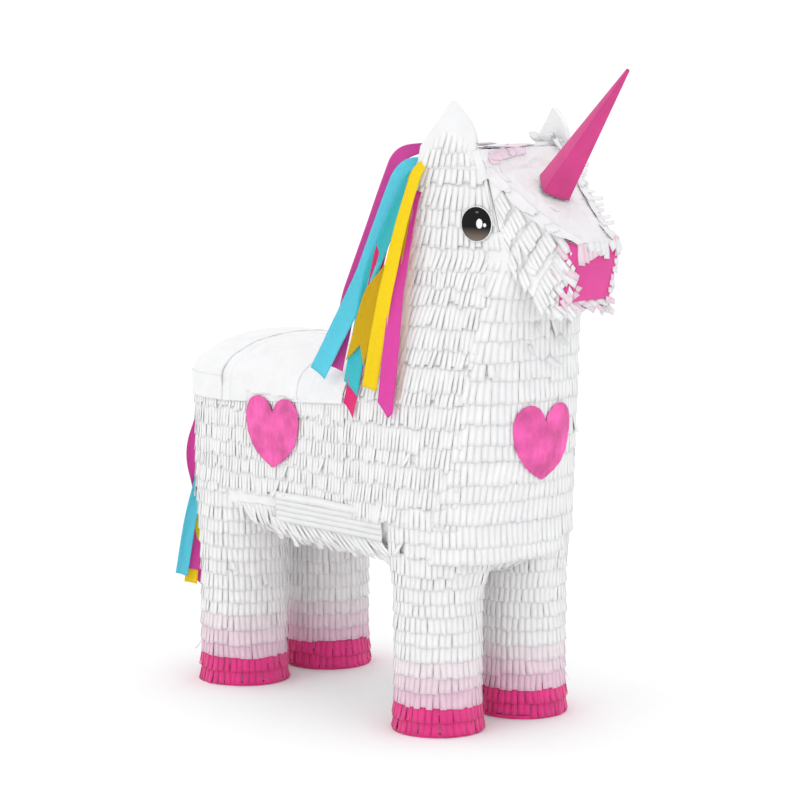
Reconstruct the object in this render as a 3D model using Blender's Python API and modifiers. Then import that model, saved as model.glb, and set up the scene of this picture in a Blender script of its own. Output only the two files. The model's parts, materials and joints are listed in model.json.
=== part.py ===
"""Unicorn pinata: cardboard shell, legs, head, horn, paper trims and ribbon bundles.

Metres, +Z up. The unicorn looks along -Y, and its own left is +X. The origin is on
the ground, under the middle of the whole object's box.

Lengthwise places are given from the axis of the front legs, with y growing towards
the tail, and world() moves them into the frame.
"""

import math

import bmesh
import bpy
from mathutils import Matrix, Vector

# ---------------------------------------------------------------- driving dimensions
FRONT_LEG_Y = -0.0925          # world y of the front legs' axis

CARD = 0.002                   # thickness of the shell's cardboard
SEAM = 0.0005                  # gap between two glued edges
TISSUE = 0.0028                # how far the fringe stands out under the glued-on trims

LEG_X = 0.050                  # half the distance between left and right leg axes
WHEELBASE = 0.260              # front leg axis to rear leg axis
LEG_RADIUS = 0.0365
LEG_TOP = 0.184
HOOF_RADIUS = 0.0395
HOOF_THICKNESS = 0.003

BODY_HALF_WIDTH = 0.089
FLANK_LOW = 0.185              # lower edge of the flat flanks
FLANK_HIGH = 0.282             # upper edge of the flat flanks
BELLY_DROP = 0.051             # how far the belly hangs below the flanks
BACK_RISE = 0.034              # how far the back is domed above the flanks
SHOULDER_Y = 0.076             # the neck column ends and the barrel begins here
SPINE_FRONT = 0.0              # the belly's rounded ends curve about these two places
SPINE_REAR = 0.240
RUMP_DEPTH = 0.077             # how far the rump reaches behind SPINE_REAR
RUMP_SQUARENESS = 2.6

FLAP_FRONT = 0.138
FLAP_REAR = 0.226
FLAP_GAP = 0.0006

HEAD_TOP = 0.495
EAR_RISE = 0.039
LEFT_EAR_SHARE = 0.78           # the left ear is cut a little lower than the right
EAR_TIP_AT = 0.56              # share of the way from the nape to the forehead
EAR_FRONT_ROUNDNESS = 0.45

HORN_BASE = (0.0, -0.0850, 0.4620)
HORN_TIP = (0.0, -0.1686, 0.5611)
HORN_RADIUS = 0.0148
HORN_TIP_RADIUS = 0.0013
HORN_CARD = 0.0007
HORN_FACETS = 10

NOSE_WIDTH = 0.0445
NOSE_HEIGHT = 0.046
NOSE_CENTRE = (0.0, -0.1321, 0.3965)
NOSE_TILT = math.radians(15.0)

EYE_RADIUS = 0.014
EYE_HEIGHT = 0.434
EYE_AT = 0.97
TRIM_CARD = 0.0009

CHEST_HEART_WIDTH = 0.0610
CHEST_HEART_HEIGHT = 0.0640
CHEST_HEART_Z = 0.2505
FLANK_HEART_WIDTH = 0.0712
FLANK_HEART_HEIGHT = 0.0628
FLANK_HEART_Y = 0.169
FLANK_HEART_Z = 0.2407

RIBBON_CARD = 0.0006
RIBBON_LAYER = 0.0012          # each ribbon lies this much further out than the last

FLAP_HINGE = (-0.0003, 0.182, 0.3165)      # along y, on the crown of the back
MANE_HINGE = (-0.0080, 0.0145, 0.4860)     # along x, through the mane's knot
TAIL_HINGE = (-0.0260, 0.3165, 0.3003)     # along x, through the tail's knot


# Level cuts through the neck column, from the belly line to the top of the head:
# height, rear corner x and y, bulge control x and y, front seam x and y, front y.
COLUMN_LEVELS = [
    (0.185, 0.0890, 0.0760, 0.098, -0.005, 0.0670, -0.0410, -0.0620),
    (0.235, 0.0890, 0.0760, 0.096, -0.012, 0.0660, -0.0440, -0.0735),
    (0.285, 0.0885, 0.0760, 0.092, -0.010, 0.0620, -0.0500, -0.0750),
    (0.330, 0.0840, 0.0520, 0.081, -0.005, 0.0560, -0.0560, -0.0765),
    (0.360, 0.0800, 0.0400, 0.073, -0.012, 0.0530, -0.0610, -0.0790),
    (0.385, 0.0760, 0.0300, 0.067, -0.018, 0.0500, -0.0680, -0.0840),
    (0.407, 0.0740, 0.0240, 0.062, -0.026, 0.0460, -0.0755, -0.0880),
    (0.436, 0.0715, 0.0155, 0.061, -0.027, 0.0484, -0.0682, -0.0880),
    (0.472, 0.0695, 0.0075, 0.0605, -0.026, 0.0510, -0.0590, -0.0880),
    (0.495, 0.0685, 0.0025, 0.0612, -0.024, 0.0540, -0.0500, -0.0880),
]
CHEST_TOP = 0.388

# The muzzle's upper and lower edges, from the cheek to the nose: half width, y, z.
MUZZLE_TOP = [(0.0508, -0.0602, 0.472), (0.040, -0.088, 0.447),
              (0.029, -0.1155, 0.4275), (0.0215, -0.1365, 0.419)]
MUZZLE_LOW = [(0.0458, -0.0766, 0.405), (0.037, -0.098, 0.377),
              (0.0275, -0.1120, 0.365), (0.0215, -0.1240, 0.3735)]
FOREHEAD_CROWN = 0.008

WHITE = (0.90, 0.89, 0.87)
PALE_PINK = (0.93, 0.70, 0.78)
HOT_PINK = (0.80, 0.06, 0.29)
DEEP_PINK = (0.85, 0.10, 0.36)
BLACK = (0.02, 0.02, 0.02)
KRAFT = (0.62, 0.46, 0.31)
BLUE = (0.16, 0.52, 0.82)
TEAL = (0.05, 0.55, 0.62)
YELLOW = (0.95, 0.68, 0.18)
MAGENTA = (0.48, 0.04, 0.22)
LILAC = (0.78, 0.66, 0.80)


# ---------------------------------------------------------------- scene and materials
def clear_scene():
    for thing in list(bpy.data.objects):
        bpy.data.objects.remove(thing, do_unlink=True)


def new_collection(name):
    collection = bpy.data.collections.new(name)
    bpy.context.scene.collection.children.link(collection)
    return collection


clear_scene()
PINATA = new_collection("unicorn_pinata")
CUTTERS = new_collection("cutters")


def material(name, colour, roughness):
    made = bpy.data.materials.new(name)
    made.use_nodes = True
    shader = made.node_tree.nodes["Principled BSDF"]
    shader.inputs["Base Color"].default_value = (*colour, 1.0)
    shader.inputs["Roughness"].default_value = roughness
    shader.inputs["Metallic"].default_value = 0.0
    return made


def world(x, y, z):
    return Vector((x, y + FRONT_LEG_Y, z))


# ---------------------------------------------------------------- shared mesh helpers
def add_object(name, work, colour, roughness):
    """Turns the worked mesh into a named object with a material of its own."""
    mesh = bpy.data.meshes.new(name)
    work.to_mesh(mesh)
    work.free()
    mesh.shade_smooth()
    mesh.set_sharp_from_angle(angle=math.radians(40))
    mesh.materials.append(material(name + "_finish", colour, roughness))
    thing = bpy.data.objects.new(name, mesh)
    PINATA.objects.link(thing)
    return thing


def bent_sheet(name, surface, across, along, colour, thickness=CARD, roughness=0.85):
    """A sheet over surface(u, v), u and v from 0 to 1; its outside faces du x dv."""
    home = surface(0.5, 0.5)
    work = bmesh.new()
    bmesh.ops.create_grid(work, x_segments=across, y_segments=along, size=0.5)
    for vertex in work.verts:
        vertex.co = surface(vertex.co.x + 0.5, vertex.co.y + 0.5) - home
    bmesh.ops.remove_doubles(work, verts=work.verts, dist=0.00002)
    thing = add_object(name, work, colour, roughness)
    thing.location = home
    shell = thing.modifiers.new("thickness", "SOLIDIFY")
    shell.thickness = thickness
    shell.offset = -1.0
    shell.use_even_offset = True
    return thing


def round_solid(name, radius, length, centre, axis, facets, colour, roughness=0.85,
                top_radius=None, closed=True):
    """A cylinder, or a cone with a top radius, about an axis through its centre."""
    work = bmesh.new()
    bmesh.ops.create_cone(work, cap_ends=closed, segments=facets, radius1=radius,
                          radius2=radius if top_radius is None else top_radius,
                          depth=length)
    thing = add_object(name, work, colour, roughness)
    turn = Vector(axis).to_track_quat("Z", "Y").to_matrix().to_4x4()
    thing.matrix_world = Matrix.Translation(centre) @ turn
    return thing


def open_tube(name, radius, length, centre, axis, facets, wall, colour, roughness=0.85,
              top_radius=None):
    """A cylinder or cone with a wall and open ends."""
    thing = round_solid(name, radius, length, centre, axis, facets, colour, roughness,
                        top_radius, closed=False)
    shell = thing.modifiers.new("thickness", "SOLIDIFY")
    shell.thickness = wall
    shell.offset = -1.0
    return thing


def hang_on_hinge(name, place, things):
    """An empty on a joint's axis, with the things that turn about it as its children."""
    hinge = bpy.data.objects.new(name, None)
    hinge.empty_display_size = 0.02
    hinge.location = world(*place)
    PINATA.objects.link(hinge)
    for thing in things:
        thing.parent = hinge
        thing.matrix_parent_inverse = Matrix.Translation(-world(*place))


def cut_by(thing, cutter):
    cut = thing.modifiers.new("cut_" + cutter.name, "BOOLEAN")
    cut.operation = "DIFFERENCE"
    cut.solver = "EXACT"
    cut.object = cutter
    return cut


def move_to_cutters(thing):
    PINATA.objects.unlink(thing)
    CUTTERS.objects.link(thing)
    thing.hide_render = True
    thing.display_type = "WIRE"


# ---------------------------------------------------------------- curves of the shell
def mix(a, b, share):
    return a + (b - a) * share


def along_list(points, share):
    """A point on the line through points, at a share of its number of steps."""
    place = min(max(share, 0.0), 1.0) * (len(points) - 1)
    step = min(int(place), len(points) - 2)
    return [mix(a, b, place - step) for a, b in zip(points[step], points[step + 1])]


def column_level(z):
    """The neck column's level cut at height z, without its height."""
    rows = COLUMN_LEVELS
    if z <= rows[0][0]:
        return rows[0][1:]
    for low, high in zip(rows, rows[1:]):
        if z <= high[0]:
            share = (z - low[0]) / (high[0] - low[0])
            return tuple(mix(a, b, share) for a, b in zip(low[1:], high[1:]))
    return rows[-1][1:]


def bezier2(a, b, c, t):
    s = 1.0 - t
    return s * s * a + 2.0 * s * t * b + t * t * c


def bezier3(a, b, c, d, t):
    s = 1.0 - t
    return s ** 3 * a + 3.0 * s * s * t * b + 3.0 * s * t * t * c + t ** 3 * d


def side_curve(z, t):
    """Half width and y on the column's side, from the nape (t=0) to the front seam."""
    rear_x, rear_y, bulge_x, bulge_y, seam_x, seam_y, _ = column_level(z)
    return bezier2(rear_x, bulge_x, seam_x, t), bezier2(rear_y, bulge_y, seam_y, t)


def front_curve(z, t):
    """Half width and y on the column's front, from the seam (t=0) to the middle."""
    _, _, bulge_x, bulge_y, seam_x, seam_y, front_y = column_level(z)
    reach = (front_y - seam_y) / (seam_y - bulge_y)
    corner_x = seam_x + (seam_x - bulge_x) * reach
    return bezier2(seam_x, corner_x, 0.0, t), bezier2(seam_y, front_y, front_y, t)


def rump_curve(angle):
    """Half width and y on the rump's outline: angle 0 at the flank, 90 degrees behind."""
    power = 2.0 / RUMP_SQUARENESS
    x = BODY_HALF_WIDTH * max(math.cos(angle), 0.0) ** power
    y = SPINE_REAR + RUMP_DEPTH * max(math.sin(angle), 0.0) ** power
    return x, y


def belly_outline(share):
    """The body's outline at the flanks' lower edge, from chest middle to rump middle."""
    if share < 0.2:
        return front_curve(FLANK_LOW, 1.0 - share / 0.2)
    if share < 0.42:
        return side_curve(FLANK_LOW, 1.0 - (share - 0.2) / 0.22)
    if share < 0.62:
        return BODY_HALF_WIDTH, mix(SHOULDER_Y, SPINE_REAR, (share - 0.42) / 0.2)
    return rump_curve((share - 0.62) / 0.38 * math.pi / 2)


# ---------------------------------------------------------------- body panels
def ear_height(t):
    """How high the side panel stands above the head's top at place t along it."""
    if t <= EAR_TIP_AT:
        return EAR_RISE * t / EAR_TIP_AT
    return EAR_RISE * (1.0 - (t - EAR_TIP_AT) / (1.0 - EAR_TIP_AT)) ** EAR_FRONT_ROUNDNESS


def build_neck_sides():
    def place(side, u, v):
        t = u if side < 0 else 1.0 - u
        t = t ** 0.9
        top = HEAD_TOP + ear_height(t) * (1.0 if side < 0 else LEFT_EAR_SHARE)
        z = mix(FLANK_LOW + SEAM, top, v)
        x, y = side_curve(z, t)
        return world(side * x, y, z)

    for side, name in ((-1, "neck_side_right"), (1, "neck_side_left")):
        bent_sheet(name, lambda u, v, s=side: place(s, u, v), 12, 14, WHITE)


def build_chest_strip():
    def place(u, v):
        z = mix(FLANK_LOW + SEAM, CHEST_TOP, v)
        across = (u - 0.5) * 2.0
        t = 1.0 - abs(across) * 0.975
        x, y = front_curve(z, t)
        return world(math.copysign(x, across), y, z)

    bent_sheet("chest_strip", place, 10, 10, WHITE)


def dome_edge(x, half_width=BODY_HALF_WIDTH):
    return FLANK_HIGH + BACK_RISE * math.sqrt(max(0.0, 1.0 - (x / half_width) ** 2))


def build_nape_strip():
    bow = 0.006

    def place(u, v):
        level = mix(FLANK_HIGH + 0.003, HEAD_TOP - 0.004, v)
        rear_x, rear_y = column_level(level)[:2]
        across = (0.5 - u) * 2.0
        x = (rear_x - CARD - 2 * SEAM) * across
        base = dome_edge(x) + 2 * SEAM
        z = mix(base, HEAD_TOP - 0.004, v)
        fade = v * (1.0 - v) * 4.0
        return world(x, rear_y - SEAM + bow * fade * (1.0 - across ** 2), z)

    bent_sheet("nape_strip", place, 8, 8, WHITE)


def build_flanks():
    def place(side, u, v):
        along = u if side < 0 else 1.0 - u
        y = mix(SPINE_REAR - SEAM, SHOULDER_Y + SEAM, along)
        z = mix(FLANK_LOW + SEAM, FLANK_HIGH, v)
        return world(side * BODY_HALF_WIDTH, y, z)

    for side, name in ((-1, "flank_right"), (1, "flank_left")):
        bent_sheet(name, lambda u, v, s=side: place(s, u, v), 2, 2, WHITE)


def vault(x_angle, y):
    x = -BODY_HALF_WIDTH * math.cos(x_angle)
    z = FLANK_HIGH + SEAM + BACK_RISE * math.sin(x_angle)
    return world(x, y, z)


def build_back():
    def back_place(u, v):
        return vault(u * math.pi, mix(SHOULDER_Y + SEAM, SPINE_REAR - SEAM, v))

    back = bent_sheet("back_panel", back_place, 16, 4, WHITE)
    length = FLAP_REAR - FLAP_FRONT
    reach = BODY_HALF_WIDTH + 0.02
    cutter = round_solid("fill_opening", 0.5, 1.0, Vector((0, 0, 0)), (0, 0, 1), 4, KRAFT)
    cutter.data.transform(Matrix.Rotation(math.radians(45), 4, "Z"))
    side = 0.5 * math.sqrt(2.0)
    cutter.data.transform(Matrix.Diagonal((reach / side, length / side, 0.1, 1.0)))
    cutter.matrix_world = Matrix.Translation(
        world(-reach / 2, (FLAP_FRONT + FLAP_REAR) / 2, FLANK_HIGH + 0.02))
    move_to_cutters(cutter)
    cut_by(back, cutter)

    def flap_place(u, v):
        angle = mix(0.006, math.pi / 2 - 0.008, u)
        return vault(angle, mix(FLAP_FRONT + FLAP_GAP, FLAP_REAR - FLAP_GAP, v))

    flap = bent_sheet("fill_flap", flap_place, 8, 3, WHITE)
    hang_on_hinge("flap_hinge", FLAP_HINGE, [flap])


def build_rump():
    wall_share = 0.35

    def place(u, v):
        x, y = rump_curve(math.pi / 2 * (1.0 - abs(2.0 * u - 1.0)))
        x = math.copysign(x, 0.5 - u)
        if v <= wall_share:
            return world(x, y, mix(FLANK_LOW + SEAM, FLANK_HIGH, v / wall_share))
        lift = (v - wall_share) / (1.0 - wall_share) * math.pi / 2
        shrink = max(math.cos(lift), 0.0)
        y = SPINE_REAR + (y - SPINE_REAR) * math.sqrt(shrink)
        return world(x * shrink, y, FLANK_HIGH + BACK_RISE * math.sin(lift))

    bent_sheet("rump_panel", place, 16, 11, WHITE)


def build_belly():
    def place(u, v):
        share = 2.0 * u if u <= 0.5 else 2.0 * (1.0 - u)
        x, y = belly_outline(share)
        x = x if u <= 0.5 else -x
        spine = min(max(y, SPINE_FRONT), SPINE_REAR)
        drop = (1.0 - v) * math.pi / 2
        shrink = max(math.cos(drop), 0.0)
        z = FLANK_LOW - SEAM - BELLY_DROP * math.sin(drop)
        return world(x * shrink, spine + (y - spine) * shrink, z)

    belly = bent_sheet("belly_panel", place, 44, 6, WHITE)
    for corner, x, y in leg_places():
        cutter = round_solid("leg_hole_" + corner, LEG_RADIUS + SEAM, 0.2,
                             world(x, y, 0.1), (0, 0, 1), 24, KRAFT)
        move_to_cutters(cutter)
        cut_by(belly, cutter)


def build_front_former():
    """The card wall that closes the barrel's front and keeps its round shape."""
    inset = CARD + 0.0012
    outline = []
    steps = 14
    for step in range(steps):
        angle = math.pi * step / (steps - 1)
        x = (BODY_HALF_WIDTH - inset) * math.cos(angle)
        outline.append((x, FLANK_HIGH - 0.002 + (BACK_RISE - inset) * math.sin(angle)))
    for step in range(steps):
        angle = math.pi * step / (steps - 1)
        x = -(BODY_HALF_WIDTH - inset) * math.cos(angle)
        outline.append((x, FLANK_LOW + 0.001 - (BELLY_DROP - inset) * math.sin(angle)))
    curve = bpy.data.curves.new("front_former", "CURVE")
    curve.dimensions = "2D"
    curve.fill_mode = "BOTH"
    curve.extrude = CARD / 2
    line = curve.splines.new("POLY")
    line.points.add(len(outline) - 1)
    for point, (x, z) in zip(line.points, outline):
        point.co = (x, z, 0.0, 1.0)
    line.use_cyclic_u = True
    curve.materials.append(material("front_former_finish", KRAFT, 0.9))
    thing = bpy.data.objects.new("front_former", curve)
    thing.matrix_world = (Matrix.Translation(world(0, SHOULDER_Y + 0.004, 0))
                          @ Matrix.Rotation(math.radians(90), 4, "X"))
    PINATA.objects.link(thing)


def build_hanger_card():
    """A stiff card glued under the back, where a hanging string would be tied."""
    inset = CARD + 0.0008

    def place(u, v):
        angle = math.radians(mix(97, 128, u))
        x = -(BODY_HALF_WIDTH - inset) * math.cos(angle)
        z = FLANK_HIGH + SEAM + (BACK_RISE - inset) * math.sin(angle)
        return world(x, mix(0.100, 0.160, v), z)

    bent_sheet("hanger_card", place, 4, 2, KRAFT, 0.0015)


# ---------------------------------------------------------------- legs
def leg_places():
    return [("front_right", -LEG_X, 0.0), ("front_left", LEG_X, 0.0),
            ("rear_right", -LEG_X, WHEELBASE), ("rear_left", LEG_X, WHEELBASE)]


def build_legs():
    tube_low = HOOF_THICKNESS + SEAM
    for corner, x, y in leg_places():
        round_solid("hoof_plate_" + corner, HOOF_RADIUS, HOOF_THICKNESS,
                    world(x, y, HOOF_THICKNESS / 2), (0, 0, 1), 24, HOT_PINK)
        open_tube("leg_tube_" + corner, LEG_RADIUS, LEG_TOP - tube_low,
                  world(x, y, (LEG_TOP + tube_low) / 2), (0, 0, 1), 24, CARD, WHITE)
        round_solid("leg_cap_" + corner, LEG_RADIUS - CARD - SEAM, CARD,
                    world(x, y, LEG_TOP - 0.004), (0, 0, 1), 24, KRAFT)


# ---------------------------------------------------------------- head
def build_head_top():
    def place(u, v):
        y = mix(-0.0465, 0.0, v)
        half = 0.0612 + (y + 0.024) * 0.276 - CARD - 2 * SEAM
        across = (u - 0.5) * 2.0
        return world(half * across, y, HEAD_TOP - 0.0035)

    bent_sheet("poll_panel", place, 4, 3, WHITE)


def forehead_point(across, v):
    """Outer surface of the forehead; v runs from the nose up to the head's top."""
    edge = [(0.0536, -0.0505, HEAD_TOP - 0.003)] + MUZZLE_TOP
    half, y, z = along_list(edge, 1.0 - v)
    half -= CARD + 2 * SEAM
    crown = FOREHEAD_CROWN * math.sin(math.pi * v) * (1.0 - across ** 2)
    return Vector((half * across, y, z + crown))


def build_forehead():
    def place(u, v):
        point = forehead_point((u - 0.5) * 2.0, v)
        return world(*point)

    bent_sheet("forehead_panel", place, 6, 8, WHITE)


def build_muzzle():
    def side_place(side, u, v):
        along = u if side < 0 else 1.0 - u
        low = along_list(MUZZLE_LOW, along)
        high = along_list(MUZZLE_TOP, along)
        x, y, z = [mix(a, b, v) for a, b in zip(low, high)]
        return world(side * x, y, z)

    for side, name in ((-1, "muzzle_side_right"), (1, "muzzle_side_left")):
        bent_sheet(name, lambda u, v, s=side: side_place(s, u, v), 6, 3, WHITE)

    def jaw_place(u, v):
        path = [(0.0458, -0.0640, 0.409)] + MUZZLE_LOW
        half, y, z = along_list(path, v)
        half -= CARD + 4 * SEAM
        return world(half * (u - 0.5) * 2.0, y, z + 0.0004)

    bent_sheet("jaw_panel", jaw_place, 2, 8, WHITE)


def build_nose_plate():
    work = bmesh.new()
    bmesh.ops.create_cube(work, size=1.0)
    thing = add_object("nose_plate", work, HOT_PINK, 0.7)
    thing.data.transform(Matrix.Diagonal((NOSE_WIDTH, CARD, NOSE_HEIGHT, 1.0)))
    thing.matrix_world = (Matrix.Translation(world(*NOSE_CENTRE))
                          @ Matrix.Rotation(NOSE_TILT, 4, "X"))


def build_horn():
    base = world(*HORN_BASE)
    tip = world(*HORN_TIP)
    open_tube("horn", HORN_RADIUS, (tip - base).length, (base + tip) / 2, tip - base,
              HORN_FACETS, HORN_CARD, HOT_PINK, 0.6, top_radius=HORN_TIP_RADIUS)


# ---------------------------------------------------------------- glued-on trims
def surface_frame(place, u, v):
    """A point on a surface, with its two tangents and its outward normal."""
    step = 0.002
    middle = place(u, v)
    across = (place(u + step, v) - place(u - step, v)).normalized()
    up = (place(u, v + step) - place(u, v - step)).normalized()
    normal = across.cross(up).normalized()
    return middle, across, up, normal


def heart_edge(angle):
    """The heart's outline about its middle, for a heart 1 wide and 1 high."""
    turn = math.sin(angle)
    power = 2.8
    if math.cos(angle) < 0.0:
        power = mix(0.9, 1.8, math.acos(min(1.0, abs(turn))) ** 3 / (math.pi / 2) ** 3)
    x = math.copysign(abs(turn) ** power, turn)
    y = (13.0 * math.cos(angle) - 5.0 * math.cos(2 * angle)
         - 2.0 * math.cos(3 * angle) - math.cos(4 * angle))
    return x / 2.0, (y + 2.5) / 29.0


def build_eyes():
    for side, name in ((-1, "eye_right"), (1, "eye_left")):
        t = EYE_AT * 0.82
        x, y = side_curve(EYE_HEIGHT, t)
        ahead_x, ahead_y = side_curve(EYE_HEIGHT, t + 0.02)
        run = Vector((side * (ahead_x - x), ahead_y - y, 0.0)).normalized()
        normal = run.cross(Vector((0, 0, 1))).normalized()
        if normal.x * side < 0:
            normal = -normal
        centre = world(side * x, y, EYE_HEIGHT) + normal * (TISSUE + TRIM_CARD / 2)
        round_solid(name, EYE_RADIUS, TRIM_CARD, centre, normal, 28, BLACK, 0.3)


def trim_heart(name, skin, width, height):
    """A paper heart laid on skin(x, z), which gives a point and an outward normal."""
    def place(u, v):
        edge_x, edge_z = heart_edge(-2.0 * math.pi * u)
        point, normal = skin(edge_x * width * v, edge_z * height * v)
        return point + normal * (TISSUE + TRIM_CARD)

    return bent_sheet(name, place, 36, 3, DEEP_PINK, TRIM_CARD)


def build_hearts():
    def chest_skin(x, z):
        height = CHEST_HEART_Z + z
        low, high = 0.0, 1.0
        for _ in range(30):
            middle = (low + high) / 2
            if front_curve(height, middle)[0] > abs(x):
                low = middle
            else:
                high = middle
        y = front_curve(height, low)[1]
        half, ahead = front_curve(height, max(low - 0.02, 0.0))
        slope = (ahead - y) / max(half - abs(x), 1e-5)
        normal = Vector((math.copysign(slope, x), -1.0, 0.0)).normalized()
        return world(x, y, height), normal

    def flank_skin(side):
        def skin(x, z):
            return (world(side * BODY_HALF_WIDTH, FLANK_HEART_Y + side * x,
                          FLANK_HEART_Z + z), Vector((side, 0, 0)))
        return skin

    trim_heart("heart_chest", chest_skin, CHEST_HEART_WIDTH, CHEST_HEART_HEIGHT)
    for side, name in ((-1, "heart_flank_right"), (1, "heart_flank_left")):
        trim_heart(name, flank_skin(side), FLANK_HEART_WIDTH, FLANK_HEART_HEIGHT)


# ---------------------------------------------------------------- ribbon bundles
def mane_point(share, fan):
    """The mane's drape: share runs down a ribbon, fan from the neck's side (0) to its back."""
    root = Vector((mix(-0.028, -0.014, fan), mix(0.017, 0.016, fan), 0.489))
    arch = Vector((mix(-0.092, -0.054, fan), mix(0.034, 0.084, fan), mix(0.508, 0.509, fan)))
    fall = Vector((mix(-0.084, -0.060, fan), mix(0.034, 0.066, fan), mix(0.402, 0.412, fan)))
    end = Vector((mix(-0.0935, -0.072, fan), mix(0.020, 0.120, fan), mix(0.262, 0.306, fan)))
    bulge = 0.010 * 4.0 * fan * (1.0 - fan)
    corner = Vector((-bulge, bulge, 0.0))
    return world(*bezier3(root, arch + corner, fall + corner, end + corner, share))


def tail_point(share, fan):
    """The tail's drape: fan runs from its near edge (0) to its far edge (1)."""
    root = Vector((mix(-0.034, -0.018, fan), 0.3212, 0.2923))
    over = Vector((mix(-0.036, 0.000, fan), 0.3320, 0.2720))
    fall = Vector((mix(-0.052, 0.006, fan), 0.3265, 0.2150))
    end = Vector((mix(-0.064, 0.012, fan), mix(0.350, 0.340, fan), 0.062))
    return world(*bezier3(root, over, fall, end, share))


def ribbon(name, drape, fan, reach, width, layer, colour):
    """One ribbon on a drape surface, pinched at its knot, layer steps out from it."""
    start = 0.035

    def place(u, v):
        share = mix(start, reach, v)
        spread = (drape(share, fan + 0.05) - drape(share, fan - 0.05)).length / 0.1
        pinch = mix(0.35, 1.0, min(1.0, v / 0.25))
        here = fan + (u - 0.5) * width * pinch / spread
        down = drape(share + 0.01, here) - drape(share - 0.01, here)
        wide = drape(share, here + 0.05) - drape(share, here - 0.05)
        out = wide.cross(down).normalized()
        return drape(share, here) + out * (layer * RIBBON_LAYER)

    return bent_sheet(name, place, 3, 14, colour, RIBBON_CARD, 0.5)


# name, fan place, how far down, width, layer, colour
MANE_RIBBONS = [
    ("mane_ribbon_lilac", 0.03, 0.90, 0.020, 0, LILAC),
    ("mane_ribbon_magenta", 0.20, 1.00, 0.020, 1, MAGENTA),
    ("mane_ribbon_short_blue", 0.45, 1.00, 0.018, 2, BLUE),
    ("mane_ribbon_pink", 0.10, 1.00, 0.020, 3, DEEP_PINK),
    ("mane_ribbon_yellow", 0.32, 0.94, 0.019, 4, YELLOW),
    ("mane_ribbon_orange", 0.65, 0.92, 0.018, 5, YELLOW),
    ("mane_ribbon_blue", 0.88, 0.97, 0.024, 6, BLUE),
    ("mane_ribbon_arch", 0.97, 0.95, 0.020, 7, DEEP_PINK),
]
TAIL_RIBBONS = [
    ("tail_ribbon_magenta", 0.30, 0.97, 0.020, 0, MAGENTA),
    ("tail_ribbon_yellow", 0.45, 1.00, 0.018, 1, YELLOW),
    ("tail_ribbon_blue", 0.85, 0.96, 0.020, 2, BLUE),
    ("tail_ribbon_rose", 0.65, 0.99, 0.020, 3, DEEP_PINK),
    ("tail_ribbon_pink", 0.22, 0.95, 0.018, 4, DEEP_PINK),
    ("tail_ribbon_teal", 0.10, 0.98, 0.024, 5, TEAL),
]


def build_ribbons():
    mane = [ribbon(row[0], mane_point, *row[1:]) for row in MANE_RIBBONS]
    mane.append(round_solid("mane_knot", 0.006, 0.012, world(*MANE_HINGE), (1, 0, 0), 16,
                            DEEP_PINK))
    hang_on_hinge("mane_hinge", MANE_HINGE, mane)
    tail = [ribbon(row[0], tail_point, *row[1:]) for row in TAIL_RIBBONS]
    tail.append(round_solid("tail_knot", 0.004, 0.012, world(*TAIL_HINGE), (1, 0, 0), 16,
                            TEAL))
    hang_on_hinge("tail_hinge", TAIL_HINGE, tail)


def build_all():
    build_neck_sides()
    build_chest_strip()
    build_nape_strip()
    build_flanks()
    build_back()
    build_rump()
    build_belly()
    build_front_former()
    build_hanger_card()
    build_legs()
    build_head_top()
    build_forehead()
    build_muzzle()
    build_nose_plate()
    build_horn()
    build_eyes()
    build_hearts()
    build_ribbons()


build_all()
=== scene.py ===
"""Looks of the unicorn pinata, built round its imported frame.

Rows of slit tissue cover the card shell, with smooth tissue on the back, head and ears,
and paper hearts, eyes, a rolled horn and two bundles of ribbon on top of them.
All sizes are in metres. The unicorn looks along -Y and +X is its own left.
"""

import json
import math
import random
from dataclasses import dataclass

import bmesh
import bpy
from mathutils import Matrix, Vector, noise

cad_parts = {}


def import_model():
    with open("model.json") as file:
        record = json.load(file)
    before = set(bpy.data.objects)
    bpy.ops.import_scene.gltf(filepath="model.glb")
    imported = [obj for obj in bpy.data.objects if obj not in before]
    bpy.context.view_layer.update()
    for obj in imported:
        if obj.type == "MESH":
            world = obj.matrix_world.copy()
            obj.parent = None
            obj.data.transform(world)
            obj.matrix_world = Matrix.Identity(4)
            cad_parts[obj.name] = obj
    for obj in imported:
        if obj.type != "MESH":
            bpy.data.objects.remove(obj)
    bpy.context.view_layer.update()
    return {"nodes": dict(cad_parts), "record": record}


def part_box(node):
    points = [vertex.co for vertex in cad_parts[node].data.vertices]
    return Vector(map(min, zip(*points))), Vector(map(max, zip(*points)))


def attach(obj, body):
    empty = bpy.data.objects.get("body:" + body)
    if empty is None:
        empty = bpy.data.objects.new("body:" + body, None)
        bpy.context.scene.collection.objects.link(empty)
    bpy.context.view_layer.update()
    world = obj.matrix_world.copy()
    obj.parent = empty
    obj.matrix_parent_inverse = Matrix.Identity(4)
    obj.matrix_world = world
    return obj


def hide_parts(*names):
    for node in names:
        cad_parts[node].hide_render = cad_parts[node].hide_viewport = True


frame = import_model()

# ---------------------------------------------------------------- the shell's geometry
SIDES = ((-1, "right"), (1, "left"))
FRONT_LEG_Y = -0.0925
LEG_X = 0.050
WHEELBASE = 0.260
LEG_RADIUS = 0.0365
LEG_PLACES = (("front_right", -LEG_X, 0.0), ("front_left", LEG_X, 0.0),
              ("rear_right", -LEG_X, WHEELBASE), ("rear_left", LEG_X, WHEELBASE))
LEG_SPOKES = 72
BODY_HALF_WIDTH = 0.089
FLANK_LOW = 0.185
FLANK_HIGH = 0.282
BELLY_DROP = 0.051
BELLY_LENGTH = 0.08            # from the belly's lowest line out to its rim
BACK_RISE = 0.034
SHOULDER_Y = 0.076
SPINE_FRONT = 0.0
SPINE_REAR = 0.240
RUMP_DEPTH = 0.077
RUMP_SQUARENESS = 2.6
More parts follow.
